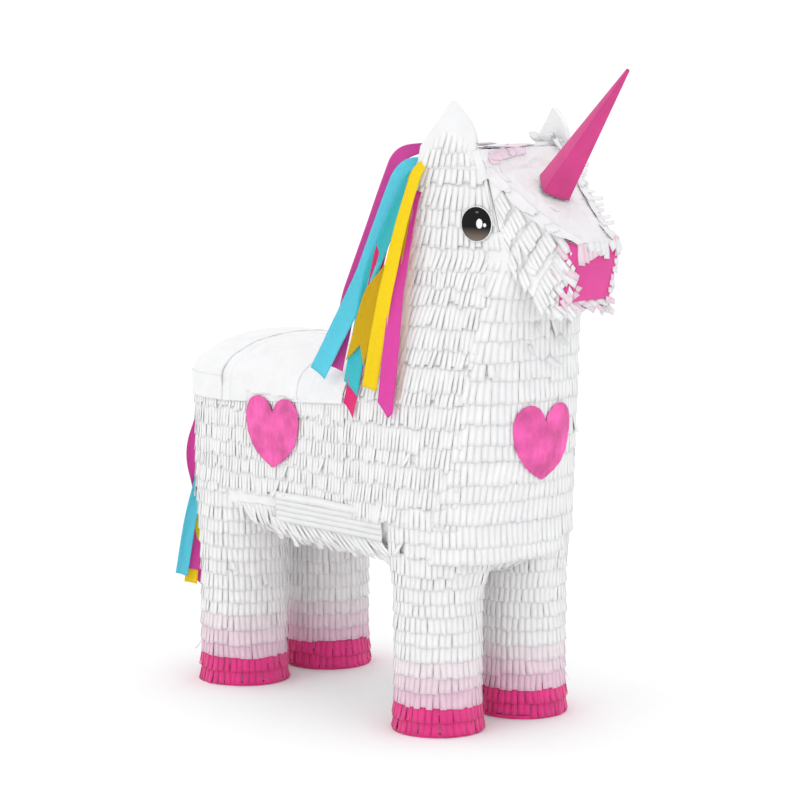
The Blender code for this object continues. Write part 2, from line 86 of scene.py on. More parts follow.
RUMP_LENGTH = 0.085            # from the crown of the back over to the rump's edge
HEAD_TOP = 0.495
EAR_RISE = 0.039
EAR_TIP_AT = 0.56
EAR_FRONT_ROUNDNESS = 0.45
FLAP_FRONT = 0.138
FLAP_REAR = 0.226
LEFT_EAR_SHARE = 0.78
MUZZLE_LENGTH = 0.09           # from the nose back to the neck, along the cheek
JAW_LENGTH = 0.085
FOREHEAD_LENGTH = 0.125
POLL_LENGTH = 0.051
CHEEK_SLANT = 0.58             # radians; the cheek's tabs hang this much below its length
CHEEK_HEIGHT = 0.062
CHEEK_ROW = 0.12               # length of a whole slanting row on the cheek
CHEEK_ROW_START = 0.03         # the part of that row before the nose's lower corner
HORN_BASE = (0.0, -0.0850, 0.4620)
HORN_TIP = (0.0, -0.1686, 0.5611)
HORN_RADIUS = 0.0148
HORN_TIP_RADIUS = 0.0013
HORN_WRAP = math.radians(398.0)
NOSE_WIDTH = 0.0445
NOSE_HEIGHT = 0.046
NOSE_CENTRE = (0.0, -0.1321, 0.3965)
NOSE_TILT = math.radians(15.0)
NECK_ROW_PITCH = 0.0168        # distances between rows of slit tissue
CHEST_ROW_PITCH = 0.0172
NAPE_ROW_PITCH = 0.0165
LEG_ROW_PITCH = 0.0126
CHEEK_ROW_PITCH = 0.0114
FOLD_PITCH = 0.0048
HEARTS = ("heart_chest", "heart_flank_right", "heart_flank_left")
TRIM_LIFT = 0.0030             # paper trims lie this far outside the card
PRESSED = 0.0019               # and hold the tissue under them down to this
MANE_HINGE = (-0.0080, 0.0145, 0.4860)
TAIL_HINGE = (-0.0260, 0.3165, 0.3003)
BELOW_TAIL_KNOT = (-0.0300, 0.3245, 0.2800)
RIBBON_LAYER = 0.0012
RIBBON_THICKNESS = 0.00018
PAPER_THICKNESS = 0.0003
TISSUE_THICKNESS = 0.00014

# ---------------------------------------------------------------- camera and light
CAMERA_TURN = math.radians(42.0)
CAMERA_LIFT = math.radians(7.66)
CAMERA_DISTANCE = 2.64
CAMERA_TARGET = (0.0, 0.1041, 0.2673)
CAMERA_LENS = 134.955          # millimetres, on a sensor that is 36 wide
SKY = 1.05                     # strength of the even light all round
KEY = 6.0
TOP = 5.0
FRONT = 3.0

# Level cuts of the neck column: height, rear corner x and y, bulge x and y, front seam
# x and y, front y.
COLUMN_LEVELS = [
    (0.185, 0.0890, 0.0760, 0.098, -0.005, 0.0670, -0.0410, -0.0620),
    (0.235, 0.0890, 0.0760, 0.096, -0.012, 0.0660, -0.0440, -0.0735),
    (0.285, 0.0885, 0.0760, 0.092, -0.010, 0.0620, -0.0500, -0.0750),
    (0.330, 0.0840, 0.0520, 0.081, -0.005, 0.0560, -0.0560, -0.0765),
    (0.360, 0.0800, 0.0400, 0.073, -0.012, 0.0530, -0.0610, -0.0790),
    (0.385, 0.0760, 0.0300, 0.067, -0.018, 0.0500, -0.0680, -0.0840),
    (0.407, 0.0740, 0.0240, 0.062, -0.026, 0.0460, -0.0755, -0.0880),
    (0.436, 0.0715, 0.0155, 0.061, -0.027, 0.0484, -0.0682, -0.0880),
    (0.472, 0.0695, 0.0075, 0.0605, -0.026, 0.0510, -0.0590, -0.0880),
    (0.495, 0.0685, 0.0025, 0.0612, -0.024, 0.0540, -0.0500, -0.0880),
]
MUZZLE_TOP = [(0.0508, -0.0602, 0.472), (0.040, -0.088, 0.447),
              (0.029, -0.1155, 0.4275), (0.0215, -0.1365, 0.419)]
MUZZLE_LOW = [(0.0458, -0.0766, 0.405), (0.037, -0.098, 0.377),
              (0.0275, -0.1120, 0.365), (0.0215, -0.1240, 0.3735)]


def world(x, y, z):
    return Vector((x, y + FRONT_LEG_Y, z))


def mix(a, b, share):
    return a + (b - a) * share


def clamp(value, low=0.0, high=1.0):
    return min(max(value, low), high)


def along_list(points, share):
    place = clamp(share) * (len(points) - 1)
    step = min(int(place), len(points) - 2)
    return [mix(a, b, place - step) for a, b in zip(points[step], points[step + 1])]


def column_level(z):
    rows = COLUMN_LEVELS
    if z <= rows[0][0]:
        return rows[0][1:]
    for low, high in zip(rows, rows[1:]):
        if z <= high[0]:
            share = (z - low[0]) / (high[0] - low[0])
            return tuple(mix(a, b, share) for a, b in zip(low[1:], high[1:]))
    return rows[-1][1:]


def bezier2(a, b, c, t):
    s = 1.0 - t
    return s * s * a + 2.0 * s * t * b + t * t * c


def side_curve(z, t):
    rear_x, rear_y, bulge_x, bulge_y, seam_x, seam_y, _ = column_level(z)
    return bezier2(rear_x, bulge_x, seam_x, t), bezier2(rear_y, bulge_y, seam_y, t)


def front_curve(z, t):
    _, _, bulge_x, bulge_y, seam_x, seam_y, front_y = column_level(z)
    reach = (front_y - seam_y) / (seam_y - bulge_y)
    corner_x = seam_x + (seam_x - bulge_x) * reach
    return bezier2(seam_x, corner_x, 0.0, t), bezier2(seam_y, front_y, front_y, t)


def rump_curve(angle):
    power = 2.0 / RUMP_SQUARENESS
    x = BODY_HALF_WIDTH * max(math.cos(angle), 0.0) ** power
    y = SPINE_REAR + RUMP_DEPTH * max(math.sin(angle), 0.0) ** power
    return x, y


def outline(share):
    """The body's outline at the flanks, from the chest's middle to the rump's middle."""
    if share < 0.2:
        return front_curve(FLANK_LOW, 1.0 - share / 0.2)
    if share < 0.42:
        return side_curve(FLANK_LOW, 1.0 - (share - 0.2) / 0.22)
    if share < 0.62:
        return BODY_HALF_WIDTH, mix(SHOULDER_Y, SPINE_REAR, (share - 0.42) / 0.2)
    return rump_curve((share - 0.62) / 0.38 * math.pi / 2)


def ear_height(t):
    if t <= EAR_TIP_AT:
        return EAR_RISE * clamp(t) / EAR_TIP_AT
    fall = clamp((t - EAR_TIP_AT) / (1.0 - EAR_TIP_AT))
    return EAR_RISE * (1.0 - fall) ** EAR_FRONT_ROUNDNESS


# ---------------------------------------------------------------- skins
# A skin maps u (0 to 1, round the piece) and v (metres, up) to a place. Its outside
# faces the way of du x dv.
def neck_skin(side):
    def skin(u, v):
        x, y = side_curve(v, u if side < 0 else 1.0 - u)
        return world(side * x, y, v)
    return skin


def chest_skin(u, v):
    """Round the chest; u 0.2 and 0.8 are the seams, and beyond them it is on the sides."""
    place = (u - 0.5) / 0.3
    reach = abs(place)
    if reach <= 1.0:
        x, y = front_curve(v, 1.0 - reach)
    else:
        x, y = side_curve(v, 1.0 - (reach - 1.0) * 0.55)
    return world(math.copysign(x, place), y, v)


def nape_skin(u, v):
    """Down the back of the neck; it bows out in the middle and stands on the domed back."""
    across = (0.5 - u) * 2.0
    top = HEAD_TOP - 0.004
    dome = BACK_RISE * math.sqrt(max(0.0, 1.0 - (0.0885 * across / BODY_HALF_WIDTH) ** 2))
    base = FLANK_HIGH + dome
    share = clamp((v - base) / (top - base))
    rear_x, rear_y = column_level(mix(FLANK_HIGH, top, share))[:2]
    bow = 0.006 * 4.0 * share * (1.0 - share) * (1.0 - across ** 2)
    return world(rear_x * across, rear_y + bow + 0.0006, v)


def barrel_skin(u, v):
    """Left flank, round the rump, right flank."""
    share = 0.42 + 0.58 * (2.0 * u if u <= 0.5 else 2.0 * (1.0 - u))
    x, y = outline(share)
    return world(x if u <= 0.5 else -x, y, v)


def back_skin(u, v):
    """The domed back from the shoulders (v = 0) to the rump's upper edge behind."""
    half_turn = clamp(u) * math.pi
    length = SPINE_REAR - SHOULDER_Y
    x = -BODY_HALF_WIDTH * math.cos(half_turn)
    rise = BACK_RISE * math.sin(half_turn)
    if v <= length:
        return world(x, SHOULDER_Y + v, FLANK_HIGH + rise)
    lean = clamp((v - length) / RUMP_LENGTH) * math.pi / 2
    y = SPINE_REAR + RUMP_DEPTH * math.sin(lean)
    return world(x, y, FLANK_HIGH + rise * math.cos(lean))


def rump_top_skin(u, v):
    """The rump's rounded top: u round it from left to right, v from its edge to its crown."""
    x, y = rump_curve(math.pi / 2 * (1.0 - abs(2.0 * u - 1.0)))
    x = math.copysign(x, 0.5 - u)
    lift = clamp(v / RUMP_LENGTH) * math.pi / 2
    shrink = max(math.cos(lift), 0.0)
    y = SPINE_REAR + (y - SPINE_REAR) * math.sqrt(shrink)
    return world(x * shrink, y, FLANK_HIGH + BACK_RISE * math.sin(lift))


def belly_skin(u, v):
    """The bowl under the body, from its lowest line (v = 0) out to its rim."""
    x, y = outline(2.0 * u if u <= 0.5 else 2.0 * (1.0 - u))
    x = x if u <= 0.5 else -x
    spine = clamp(y, SPINE_FRONT, SPINE_REAR)
    drop = clamp(1.0 - v / BELLY_LENGTH) * math.pi / 2
    shrink = max(math.cos(drop), 0.0)
    over = max(v - BELLY_LENGTH, 0.0)
    z = FLANK_LOW - BELLY_DROP * math.sin(drop) + over
    return world(x * shrink, spine + (y - spine) * shrink, z)


def muzzle_skin(side):
    """A cheek of the muzzle, from the nose (v = 0) back to the neck."""
    def skin(u, v):
        share = 1.0 - v / MUZZLE_LENGTH
        height = u if side < 0 else 1.0 - u
        low = along_list(MUZZLE_LOW, share)
        high = along_list(MUZZLE_TOP, share)
        x, y, z = [mix(a, b, height) for a, b in zip(low, high)]
        extra = max(share - 1.0, 0.0) * MUZZLE_LENGTH
        return world(side * x, y - extra * 0.95, z - extra * 0.2)
    return skin


def cheek_skin(side):
    """The muzzle's cheek, turned so that v falls along the slanting tabs of tissue."""
    muzzle = muzzle_skin(side)

    def skin(u, v):
        along = CHEEK_ROW * (u if side < 0 else 1.0 - u) - CHEEK_ROW_START
        back = v * math.cos(CHEEK_SLANT) - along * math.sin(CHEEK_SLANT)
        height = (v * math.sin(CHEEK_SLANT) + along * math.cos(CHEEK_SLANT)) / CHEEK_HEIGHT
        return muzzle(height if side < 0 else 1.0 - height, back)
    return skin


def cheek_limits(side, v):
    """Where a slanting row at v meets the cheek's lower and upper edges, as u."""
    low = max(-v * math.tan(CHEEK_SLANT),
              (v * math.cos(CHEEK_SLANT) - 0.092) / math.sin(CHEEK_SLANT))
    high = min((CHEEK_HEIGHT - v * math.sin(CHEEK_SLANT)) / math.cos(CHEEK_SLANT),
               (v * math.cos(CHEEK_SLANT) - 0.016) / math.sin(CHEEK_SLANT))
    start, end = (low + CHEEK_ROW_START) / CHEEK_ROW, (high + CHEEK_ROW_START) / CHEEK_ROW
    if end - start < 0.06:
        return None
    return (start, end) if side < 0 else (1.0 - end, 1.0 - start)


def jaw_skin(u, v):
    """Under the muzzle, from the nose (v = 0) back to the throat."""
    path = [(0.0458, -0.0640, 0.409)] + MUZZLE_LOW
    half, y, z = along_list(path, 1.0 - v / JAW_LENGTH)
    return world(half * (0.5 - u) * 2.0, y, z)


def forehead_skin(u, v):
    """From the nose (v = 0) up to the head's top."""
    edge = [(0.0536, -0.0505, HEAD_TOP - 0.001)] + MUZZLE_TOP
    share = clamp(v / FOREHEAD_LENGTH)
    half, y, z = along_list(edge, 1.0 - share)
    across = (u - 0.5) * 2.0
    crown = 0.008 * math.sin(math.pi * share) * (1.0 - across ** 2)
    return world(half * across, y, z + crown)


def poll_skin(u, v):
    """The head's level top, from the forehead (v = 0) back to the nape."""
    y = mix(-0.0500, 0.0010, clamp(v / POLL_LENGTH))
    half = 0.0612 + (y + 0.024) * 0.276 - 0.0015
    return world(half * (u - 0.5) * 2.0, y, HEAD_TOP - 0.0030)


def skin_frame(skin, u, v):
    """Place, direction along the row, upward rate and outward normal of a skin."""
    step_u, step_v = 0.004, 0.0006
    middle = skin(u, v)
    along = skin(u + step_u, v) - skin(u - step_u, v)
    up = (skin(u, v + step_v) - skin(u, v - step_v)) / (2.0 * step_v)
    if up.length < 1e-6:
        up = Vector((0, 0, 1))
    normal = along.cross(up)
    if normal.length < 1e-12:
        normal = Vector((0, 0, 1))
    return middle, along.normalized(), up, normal.normalized()


# ---------------------------------------------------------------- materials
def shader_nodes(name, colour, roughness):
    made = bpy.data.materials.new(name)
    made.use_nodes = True
    nodes = made.node_tree.nodes
    links = made.node_tree.links
    shader = nodes["Principled BSDF"]
    shader.inputs["Base Color"].default_value = (*colour, 1.0)
    shader.inputs["Roughness"].default_value = roughness
    return made, nodes, links, shader


def stretched(nodes, links, coords, stretch):
    mapping = nodes.new("ShaderNodeMapping")
    mapping.inputs["Scale"].default_value = stretch
    links.new(coords, mapping.inputs["Vector"])
    return mapping.outputs["Vector"]


def noise_node(nodes, links, coords, scale, detail=4.0, roughness=0.55, stretch=None):
    texture = nodes.new("ShaderNodeTexNoise")
    texture.inputs["Scale"].default_value = scale
    texture.inputs["Detail"].default_value = detail
    texture.inputs["Roughness"].default_value = roughness
    if stretch:
        coords = stretched(nodes, links, coords, stretch)
    links.new(coords, texture.inputs["Vector"])
    return texture.outputs["Fac"]


def ramp_node(nodes, links, value, low, high, low_at=0.3, high_at=0.7):
    ramp = nodes.new("ShaderNodeValToRGB")
    ramp.color_ramp.elements[0].position = low_at
    ramp.color_ramp.elements[0].color = (*low, 1.0)
    ramp.color_ramp.elements[1].position = high_at
    ramp.color_ramp.elements[1].color = (*high, 1.0)
    links.new(value, ramp.inputs["Fac"])
    return ramp.outputs["Color"]


def bump_node(nodes, links, height, strength, distance, before=None):
    bump = nodes.new("ShaderNodeBump")
    bump.inputs["Strength"].default_value = strength
    bump.inputs["Distance"].default_value = distance
    links.new(height, bump.inputs["Height"])
    if before is not None:
        links.new(before, bump.inputs["Normal"])
    return bump.outputs["Normal"]


def shade(colour, factor):
    return tuple(clamp(channel * factor) for channel in colour)


def tissue(name, colour, contrast=0.04, crease=0.35, sheen=0.15, roughness=0.82):
    """Matte tissue paper: cloudy colour, soft creases and fine fibres."""
    made, nodes, links, shader = shader_nodes(name, colour, roughness)
    coords = nodes.new("ShaderNodeTexCoord").outputs["Object"]
    cloud = noise_node(nodes, links, coords, 55.0)
    tint = ramp_node(nodes, links, cloud, shade(colour, 1.0 - contrast),
                     shade(colour, 1.0 + contrast))
    links.new(tint, shader.inputs["Base Color"])
    creases = noise_node(nodes, links, coords, 170.0, 6.0, 0.6)
    fibres = noise_node(nodes, links, coords, 1400.0, 2.0, 0.5)
    normal = bump_node(nodes, links, creases, crease, 0.0012)
    normal = bump_node(nodes, links, fibres, 0.25, 0.0002, normal)
    links.new(normal, shader.inputs["Normal"])
    shader.inputs["Sheen Weight"].default_value = sheen
    return made


def crepe_ribbon(name, colour, see_through=0.0):
    """Party ribbon: lengthwise streaks, a fine cross weave and a soft gloss."""
    made, nodes, links, shader = shader_nodes(name, colour, 0.5)
    coords = nodes.new("ShaderNodeTexCoord").outputs["UV"]
    streaks = noise_node(nodes, links, coords, 6.0, 5.0, 0.6, (9.0, 0.5, 1.0))
    tint = ramp_node(nodes, links, streaks, shade(colour, 0.86), shade(colour, 1.12))
    links.new(tint, shader.inputs["Base Color"])
    weave = nodes.new("ShaderNodeTexVoronoi")
    weave.inputs["Scale"].default_value = 1.0
    finely = stretched(nodes, links, coords, (24.0, 260.0, 1.0))
    links.new(finely, weave.inputs["Vector"])
    normal = bump_node(nodes, links, weave.outputs["Distance"], 0.35, 0.0003)
    ripples = noise_node(nodes, links, coords, 3.0, 3.0, 0.5, (3.0, 9.0, 1.0))
    normal = bump_node(nodes, links, ripples, 0.3, 0.002, normal)
    links.new(normal, shader.inputs["Normal"])
    shader.inputs["Specular IOR Level"].default_value = 0.2
    shader.inputs["Alpha"].default_value = 1.0 - see_through
    return made


def bare_card(name):
    """Brown card with fibres, seen only inside and under the shell."""
    made, nodes, links, shader = shader_nodes(name, (0.5, 0.36, 0.23), 0.9)
    coords = nodes.new("ShaderNodeTexCoord").outputs["Object"]
    fibres = noise_node(nodes, links, coords, 420.0, 5.0, 0.7, (1.0, 1.0, 3.0))
    tint = ramp_node(nodes, links, fibres, (0.42, 0.29, 0.18), (0.58, 0.43, 0.28))
    links.new(tint, shader.inputs["Base Color"])
    normal = bump_node(nodes, links, fibres, 0.3, 0.0003)
    links.new(normal, shader.inputs["Normal"])
    return made


def eye_print(name):
    """Glossy black print that pales to a warm grey at its lower edge."""
    made, nodes, links, shader = shader_nodes(name, (0.006, 0.006, 0.007), 0.35)
    shader.inputs["Specular IOR Level"].default_value = 0.12
    place = nodes.new("ShaderNodeSeparateXYZ")
    links.new(nodes.new("ShaderNodeTexCoord").outputs["Object"], place.inputs["Vector"])
    level = nodes.new("ShaderNodeMapRange")
    level.inputs["From Min"].default_value = 0.4190
    level.inputs["From Max"].default_value = 0.4320
    links.new(place.outputs["Z"], level.inputs["Value"])
    tint = ramp_node(nodes, links, level.outputs["Result"], (0.22, 0.17, 0.14),
                     (0.006, 0.006, 0.007), 0.1, 0.95)
    links.new(tint, shader.inputs["Base Color"])
    return made


WHITE = (0.875, 0.873, 0.875)
SMOOTH_WHITE = (0.828, 0.827, 0.832)
HOOF_PINK = (0.78, 0.034, 0.235)
HORN_PINK = (0.61, 0.043, 0.225)
NOSE_PINK = (0.72, 0.060, 0.310)
HEART_PINK = (0.86, 0.100, 0.385)
PALE_PINK = (0.84, 0.66, 0.74)
MAUVE = (0.77, 0.66, 0.74)
FADE_PINKS = [(0.80, 0.56, 0.67), (0.84, 0.68, 0.75), (0.85, 0.77, 0.80)]

white_tissue = tissue("white_tissue", WHITE)
smooth_tissue = tissue("smooth_white_tissue", SMOOTH_WHITE, 0.03, 0.5)
pale_pink_tissue = tissue("pale_pink_tissue", PALE_PINK, 0.05, 0.4)
mauve_tissue = tissue("mauve_tissue", MAUVE, 0.05, 0.4)
faded_tissues = [tissue("faded_pink_tissue_%d" % (number + 1), colour, 0.06)
                 for number, colour in enumerate(FADE_PINKS)]
hoof_tissue = tissue("hoof_pink_tissue", HOOF_PINK, 0.10)
heart_tissue = tissue("heart_pink_tissue", HEART_PINK, 0.30, 1.0)
nose_tissue = tissue("nose_pink_tissue", NOSE_PINK, 0.06, 0.3)
horn_tissue = tissue("horn_pink_paper", HORN_PINK, 0.10, 0.3)
blue_ribbon = crepe_ribbon("blue_ribbon", (0.11, 0.62, 0.78))
teal_ribbon = crepe_ribbon("teal_ribbon", (0.05, 0.54, 0.62))
pink_ribbon = crepe_ribbon("pink_ribbon", (0.74, 0.065, 0.38))
arch_ribbon = crepe_ribbon("arch_ribbon", (0.66, 0.065, 0.34))
magenta_ribbon = crepe_ribbon("magenta_ribbon", (0.80, 0.035, 0.20))
yellow_ribbon = crepe_ribbon("yellow_ribbon", (0.98, 0.66, 0.006))
golden_ribbon = crepe_ribbon("golden_ribbon", (0.68, 0.43, 0.004))
# The lilac ribbon is see-through and tinted peach: a painted reflection of the other ribbons'
# light on the neck under it.
lilac_ribbon_painted_reflection = crepe_ribbon("lilac_ribbon_painted_reflection", (0.98, 0.72, 0.62), 0.76)
eye_white = shader_nodes("eye_white", (0.9, 0.9, 0.9), 0.3)[0]
# Grey for a painted reflection near the top of each eye.
eye_reflection_grey = shader_nodes("eye_reflection_grey", (0.12, 0.11, 0.11), 0.4)[0]
eye_black = eye_print("eye_black")
brown_card = bare_card("brown_card")


# ---------------------------------------------------------------- mesh building
def add_object(name, data):
    thing = bpy.data.objects.new(name, data)
    bpy.context.scene.collection.objects.link(thing)
    return thing


def add_piece(name, mesh, body, slot, thickness=0.0):
    """A piece of the model that rides on a body; paper is made as thick as it is."""
    piece = add_object(name, mesh)
    if thickness:
        shell = piece.modifiers.new("thickness", "SOLIDIFY")
        shell.thickness = thickness
        shell.offset = 0.0
    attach(piece, body)
    return piece


class Paper:
    """Gathers faces of thin paper and makes one piece of them."""

    def __init__(self):
        self.points = []
        self.faces = []
        self.finishes = []

    def point(self, place):
        self.points.append(place)
        return len(self.points) - 1

    def face(self, corners, finish=0):
        self.faces.append(corners)
        self.finishes.append(finish)

    def strip(self, pairs, finish=0):
        """A strip of quads between pairs of left and right points."""
        for (a, b), (c, d) in zip(pairs, pairs[1:]):
            self.face((a, b, d, c), finish)

    def grid(self, columns, rows, place, flip=False):
        """Quads between the points place(column, row), which it gives back."""
        points = {}
        for row in range(rows + 1):
            for column in range(columns + 1):
                points[column, row] = self.point(place(column, row))
        for row in range(rows):
            for column in range(columns):
                corners = (points[column, row], points[column + 1, row],
                           points[column + 1, row + 1], points[column, row + 1])
                self.face(corners[::-1] if flip else corners)
        return points

    def ring(self, inner, outer, finish=0, flip=False):
        """Faces from a ring of points, or from one point, to the ring outside it."""
        count = len(outer)
        for spoke in range(count):
            after = (spoke + 1) % count
            corners = (inner[spoke % len(inner)], outer[spoke], outer[after])
            if len(inner) > 1:
                corners += (inner[after],)
            self.face(corners[:1] + corners[:0:-1] if flip else corners, finish)

    def make(self, name, materials, slot, thickness=TISSUE_THICKNESS, sharp=45.0,
             body="shell"):
        mesh = bpy.data.meshes.new(name)
        mesh.from_pydata([tuple(p) for p in self.points], [], self.faces)
        for finish in materials:
            mesh.materials.append(finish)
        mesh.polygons.foreach_set("material_index", self.finishes)
        mesh.shade_smooth()
        mesh.set_sharp_from_angle(angle=math.radians(sharp))
        mesh.update()
        return add_piece(name, mesh, body, slot, thickness)


@dataclass
class Row:
    """How one row of slit tissue is cut and how it hangs."""

    depth: float = 0.0245      # length of the strip, glued edge and tabs together
    tab: float = 0.0050        # width of a tab
    lift: float = 0.0015       # how far the tabs' lower ends stand off
    louvre: float = 0.06       # how much a tab turns one edge outward
    lean: float = 0.0          # how much the tabs slant along the row
    ragged: float = 0.05       # how unequal the tabs' lengths are
    curl: float = 0.0005       # how far the lower ends curl outward
    base: float = 0.0006       # how far the glued edge lies off the card
    stray: float = 0.010       # the share of tabs that stick out
    finish: int = 0
    sway: float = 0.03         # how much the slant varies
    wander: float = 0.0007     # how far the glued edge strays up and down
    gap: float = 0.004         # width of the slits, as a share of a tab


TAB_STEPS = 5
BAND_SHARE = 0.2               # the part of a strip that is glued and not slit


def even_places(skin, v, start, end, spacing):
    """Places u between start and end that are evenly spaced along the skin at v."""
    samples = 90
    lengths = [0.0]
    places = [mix(start, end, step / samples) for step in range(samples + 1)]
    spots = [skin(u, v) for u in places]
    for a, b in zip(spots, spots[1:]):
        lengths.append(lengths[-1] + (b - a).length)
    count = max(2, round(lengths[-1] / spacing))
    found = []
    at = 0
    for step in range(count + 1):
        want = lengths[-1] * step / count
        while at < samples - 1 and lengths[at + 1] < want:
            at += 1
        part = (want - lengths[at]) / max(lengths[at + 1] - lengths[at], 1e-9)
        found.append(mix(places[at], places[at + 1], clamp(part)))
    return found


def hang_points(skin, u, v, depth, floor):
    """Places, row directions and normals down a skin from v.

    Below the height floor the tissue hangs straight on past the skin's lower edge.
    """
    middle, along, up, normal = skin_frame(skin, u, v)
    found = [(middle, along, normal)]
    step = depth / TAB_STEPS
    for _ in range(TAB_STEPS):
        below = v - step / max(up.length, 0.2)
        if below >= floor:
            v = below
            middle, along, up, normal = skin_frame(skin, u, v)
        else:
            middle = middle - up.normalized() * step
        found.append((middle, along, normal))
    return found


def trim_boxes():
    """The boxes of the trims that press the tissue flat, a little enlarged."""
    found = []
    for node in ("eye_right", "eye_left", *HEARTS):
        low, high = [Vector(corner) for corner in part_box(node)]
        margin = Vector((0.002, 0.012, 0.002) if node == "heart_chest"
                        else (0.012, 0.002, 0.002))
        found.append((low - margin, high + margin))
    return found


TRIMS = trim_boxes()


def under_trim(place):
    return any(all(low[axis] < place[axis] < high[axis] for axis in range(3))
               for low, high in TRIMS)


def side_share(normal):
    """1 where a place faces sideways, 0 where it faces forward or back."""
    return clamp((abs(normal.x) - 0.45) / 0.4)


def fringe_row(paper, skin, v, start, end, row, rng, floor=-1.0, keep=None):
    """One row of tissue strips: glued along the top, with separate tabs below."""
    places = even_places(skin, v, start, end, row.tab)
    strip_left = 0
    offset = tilt = sway = swell = 0.0
    for u, next_u in zip(places, places[1:]):
        if strip_left == 0:
            strip_left = rng.randint(9, 34)
            offset = rng.gauss(0.0, row.wander)
            tilt = rng.gauss(0.0, row.wander * 0.05)
        strip_left -= 1
        offset += tilt
        left = hang_points(skin, u, v + offset, row.depth, floor)
        right = hang_points(skin, next_u, v + offset + tilt, row.depth, floor)
        sway = sway * 0.6 + rng.gauss(0.0, row.sway)
        swell = swell * 0.9 + rng.gauss(0.0, 0.07)
        if keep is None or keep((left[-1][0] + right[-1][0]) / 2):
            add_tab(paper, left, right, row, sway, swell, rng)


def add_tab(paper, left, right, row, sway, swell, rng):
    """One tab of tissue between two lines of places down a skin.

    sway leans it along the row and swell is how much further than usual it stands off.
    """
    cut = 1.0 - abs(rng.gauss(0.0, row.ragged))
    normal = left[1][2]
    twist = row.louvre * mix(0.30, 1.0, side_share(normal)) * 2.2 * rng.random() ** 2.0
    forward = left[1][1].y < 0.0
    lift = row.lift * (1.0 + swell) * rng.uniform(0.93, 1.07)
    curl = row.curl * rng.uniform(0.3, 1.7)
    if rng.random() < row.stray:
        curl += rng.uniform(0.002, 0.007)
        sway += rng.uniform(-0.5, 0.5)
        cut *= rng.uniform(0.75, 1.0)
    pinch = row.gap * rng.uniform(0.3, 1.4) * row.tab
    pairs = []
    for step in range(TAB_STEPS + 1):
        place = cut * step
        at = min(int(place), TAB_STEPS - 1)
        fall = clamp((place / TAB_STEPS - BAND_SHARE) / (1.0 - BAND_SHARE))
        rise = row.base + lift * fall ** 0.8 + curl * fall ** 3
        slide = (row.lean + sway) * fall * row.depth
        swing = twist * row.tab * min(1.0, fall * 2.5)
        spots = []
        for column, inset, is_front in ((left, pinch, not forward),
                                        (right, -pinch, forward)):
            middle = column[at][0].lerp(column[at + 1][0], place - at)
            outward = column[at][2].lerp(column[at + 1][2], place - at)
            high = rise + (swing if is_front else 0.0)
            if under_trim(middle):
                high = min(high, PRESSED)
            spots.append(paper.point(middle + outward * high
                                     + column[at][1] * (slide + inset)))
        pairs.append(tuple(spots))
    paper.strip(pairs, row.finish)


# ---------------------------------------------------------------- smooth and torn tissue
def crumple(place, size, depth):
    """Soft ridges like creased tissue, between minus and plus depth."""
    bent = place / size
    ridges = 1.0 - 2.0 * abs(noise.noise(bent + Vector((7.0, 3.0, 1.0))))
    return depth * (0.7 * noise.noise(bent * 0.5) + 0.5 * ridges ** 3
                    + 0.4 * noise.noise(bent * 2.6))


def tissue_skin(name, skin, u_steps, v_steps, v_low, v_high, slot="white_tissue",
                body="shell", rise=0.0014, depth=0.0008, size=0.014, strip=0.0,
                u_low=0.0, u_high=1.0):
    """Smooth tissue glued over a skin, creased, with the edges of its strips showing."""
    def place(column, row):
        u = mix(u_low, u_high, column / u_steps)
        v = mix(v_low, v_high, row / v_steps)
        normal = skin_frame(skin, clamp(u, 0.006, 0.994), v)[3]
        middle = skin(u, v)
        high = rise + crumple(middle, size, depth)
        if strip:
            edge = v / strip + 0.6 * noise.noise(middle * 13.0)
            high += 0.0004 * (edge - math.floor(edge))
        if under_trim(middle):
            high = min(high, PRESSED)
        return middle + normal * max(high, 0.0005)

    paper = Paper()
    paper.grid(u_steps, v_steps, place)
    paper.make(name, [smooth_tissue], slot, 0.00025, body=body)


def torn_patch(paper, skin, u, v, width, height, turn, rng, rise, loose=0.0010, finish=0):
    """A hand-torn scrap of tissue lying creased on a skin."""
    up = skin_frame(skin, u, v)[2]
    step = skin(clamp(u + 0.01), v) - skin(clamp(u - 0.01), v)
    u_rate = max(step.length / 0.02, 0.01)
    seed = Vector((rng.random() * 50.0, rng.random() * 50.0, 0.0))
    rings, spokes = 6, 30
    inner = None
    for ring in range(rings + 1):
        line = []
        for spoke in range(spokes if ring else 1):
            angle = 2.0 * math.pi * spoke / spokes
            round_off = (abs(math.cos(angle)) ** 3.0 + abs(math.sin(angle)) ** 3.0) ** -0.333
            torn = 1.0 + 0.16 * noise.noise(seed + Vector((math.cos(angle) * 2.6,
                                                           math.sin(angle) * 2.6, 0.0)))
            torn += 0.10 * noise.noise(seed + Vector((math.cos(angle) * 9.0,
                                                      math.sin(angle) * 9.0, 4.0)))
            reach = ring / rings * round_off * torn
            across = reach * math.cos(angle) * width / 2.0
            down = reach * math.sin(angle) * height / 2.0
            du = (across * math.cos(turn) - down * math.sin(turn)) / u_rate
            dv = (across * math.sin(turn) + down * math.cos(turn)) / max(up.length, 0.2)
            spot = skin(u + du, v + dv)
            outward = skin_frame(skin, clamp(u + du, 0.006, 0.994), v + dv)[3]
            high = rise + crumple(spot + seed * 0.01, 0.010, 0.0007)
            high += loose * (ring / rings) ** 4 * (0.6 + noise.noise(spot * 60.0 + seed))
            line.append(paper.point(spot + outward * max(high, 0.0008)))
        if ring:
            paper.ring(inner, line, finish)
        inner = line


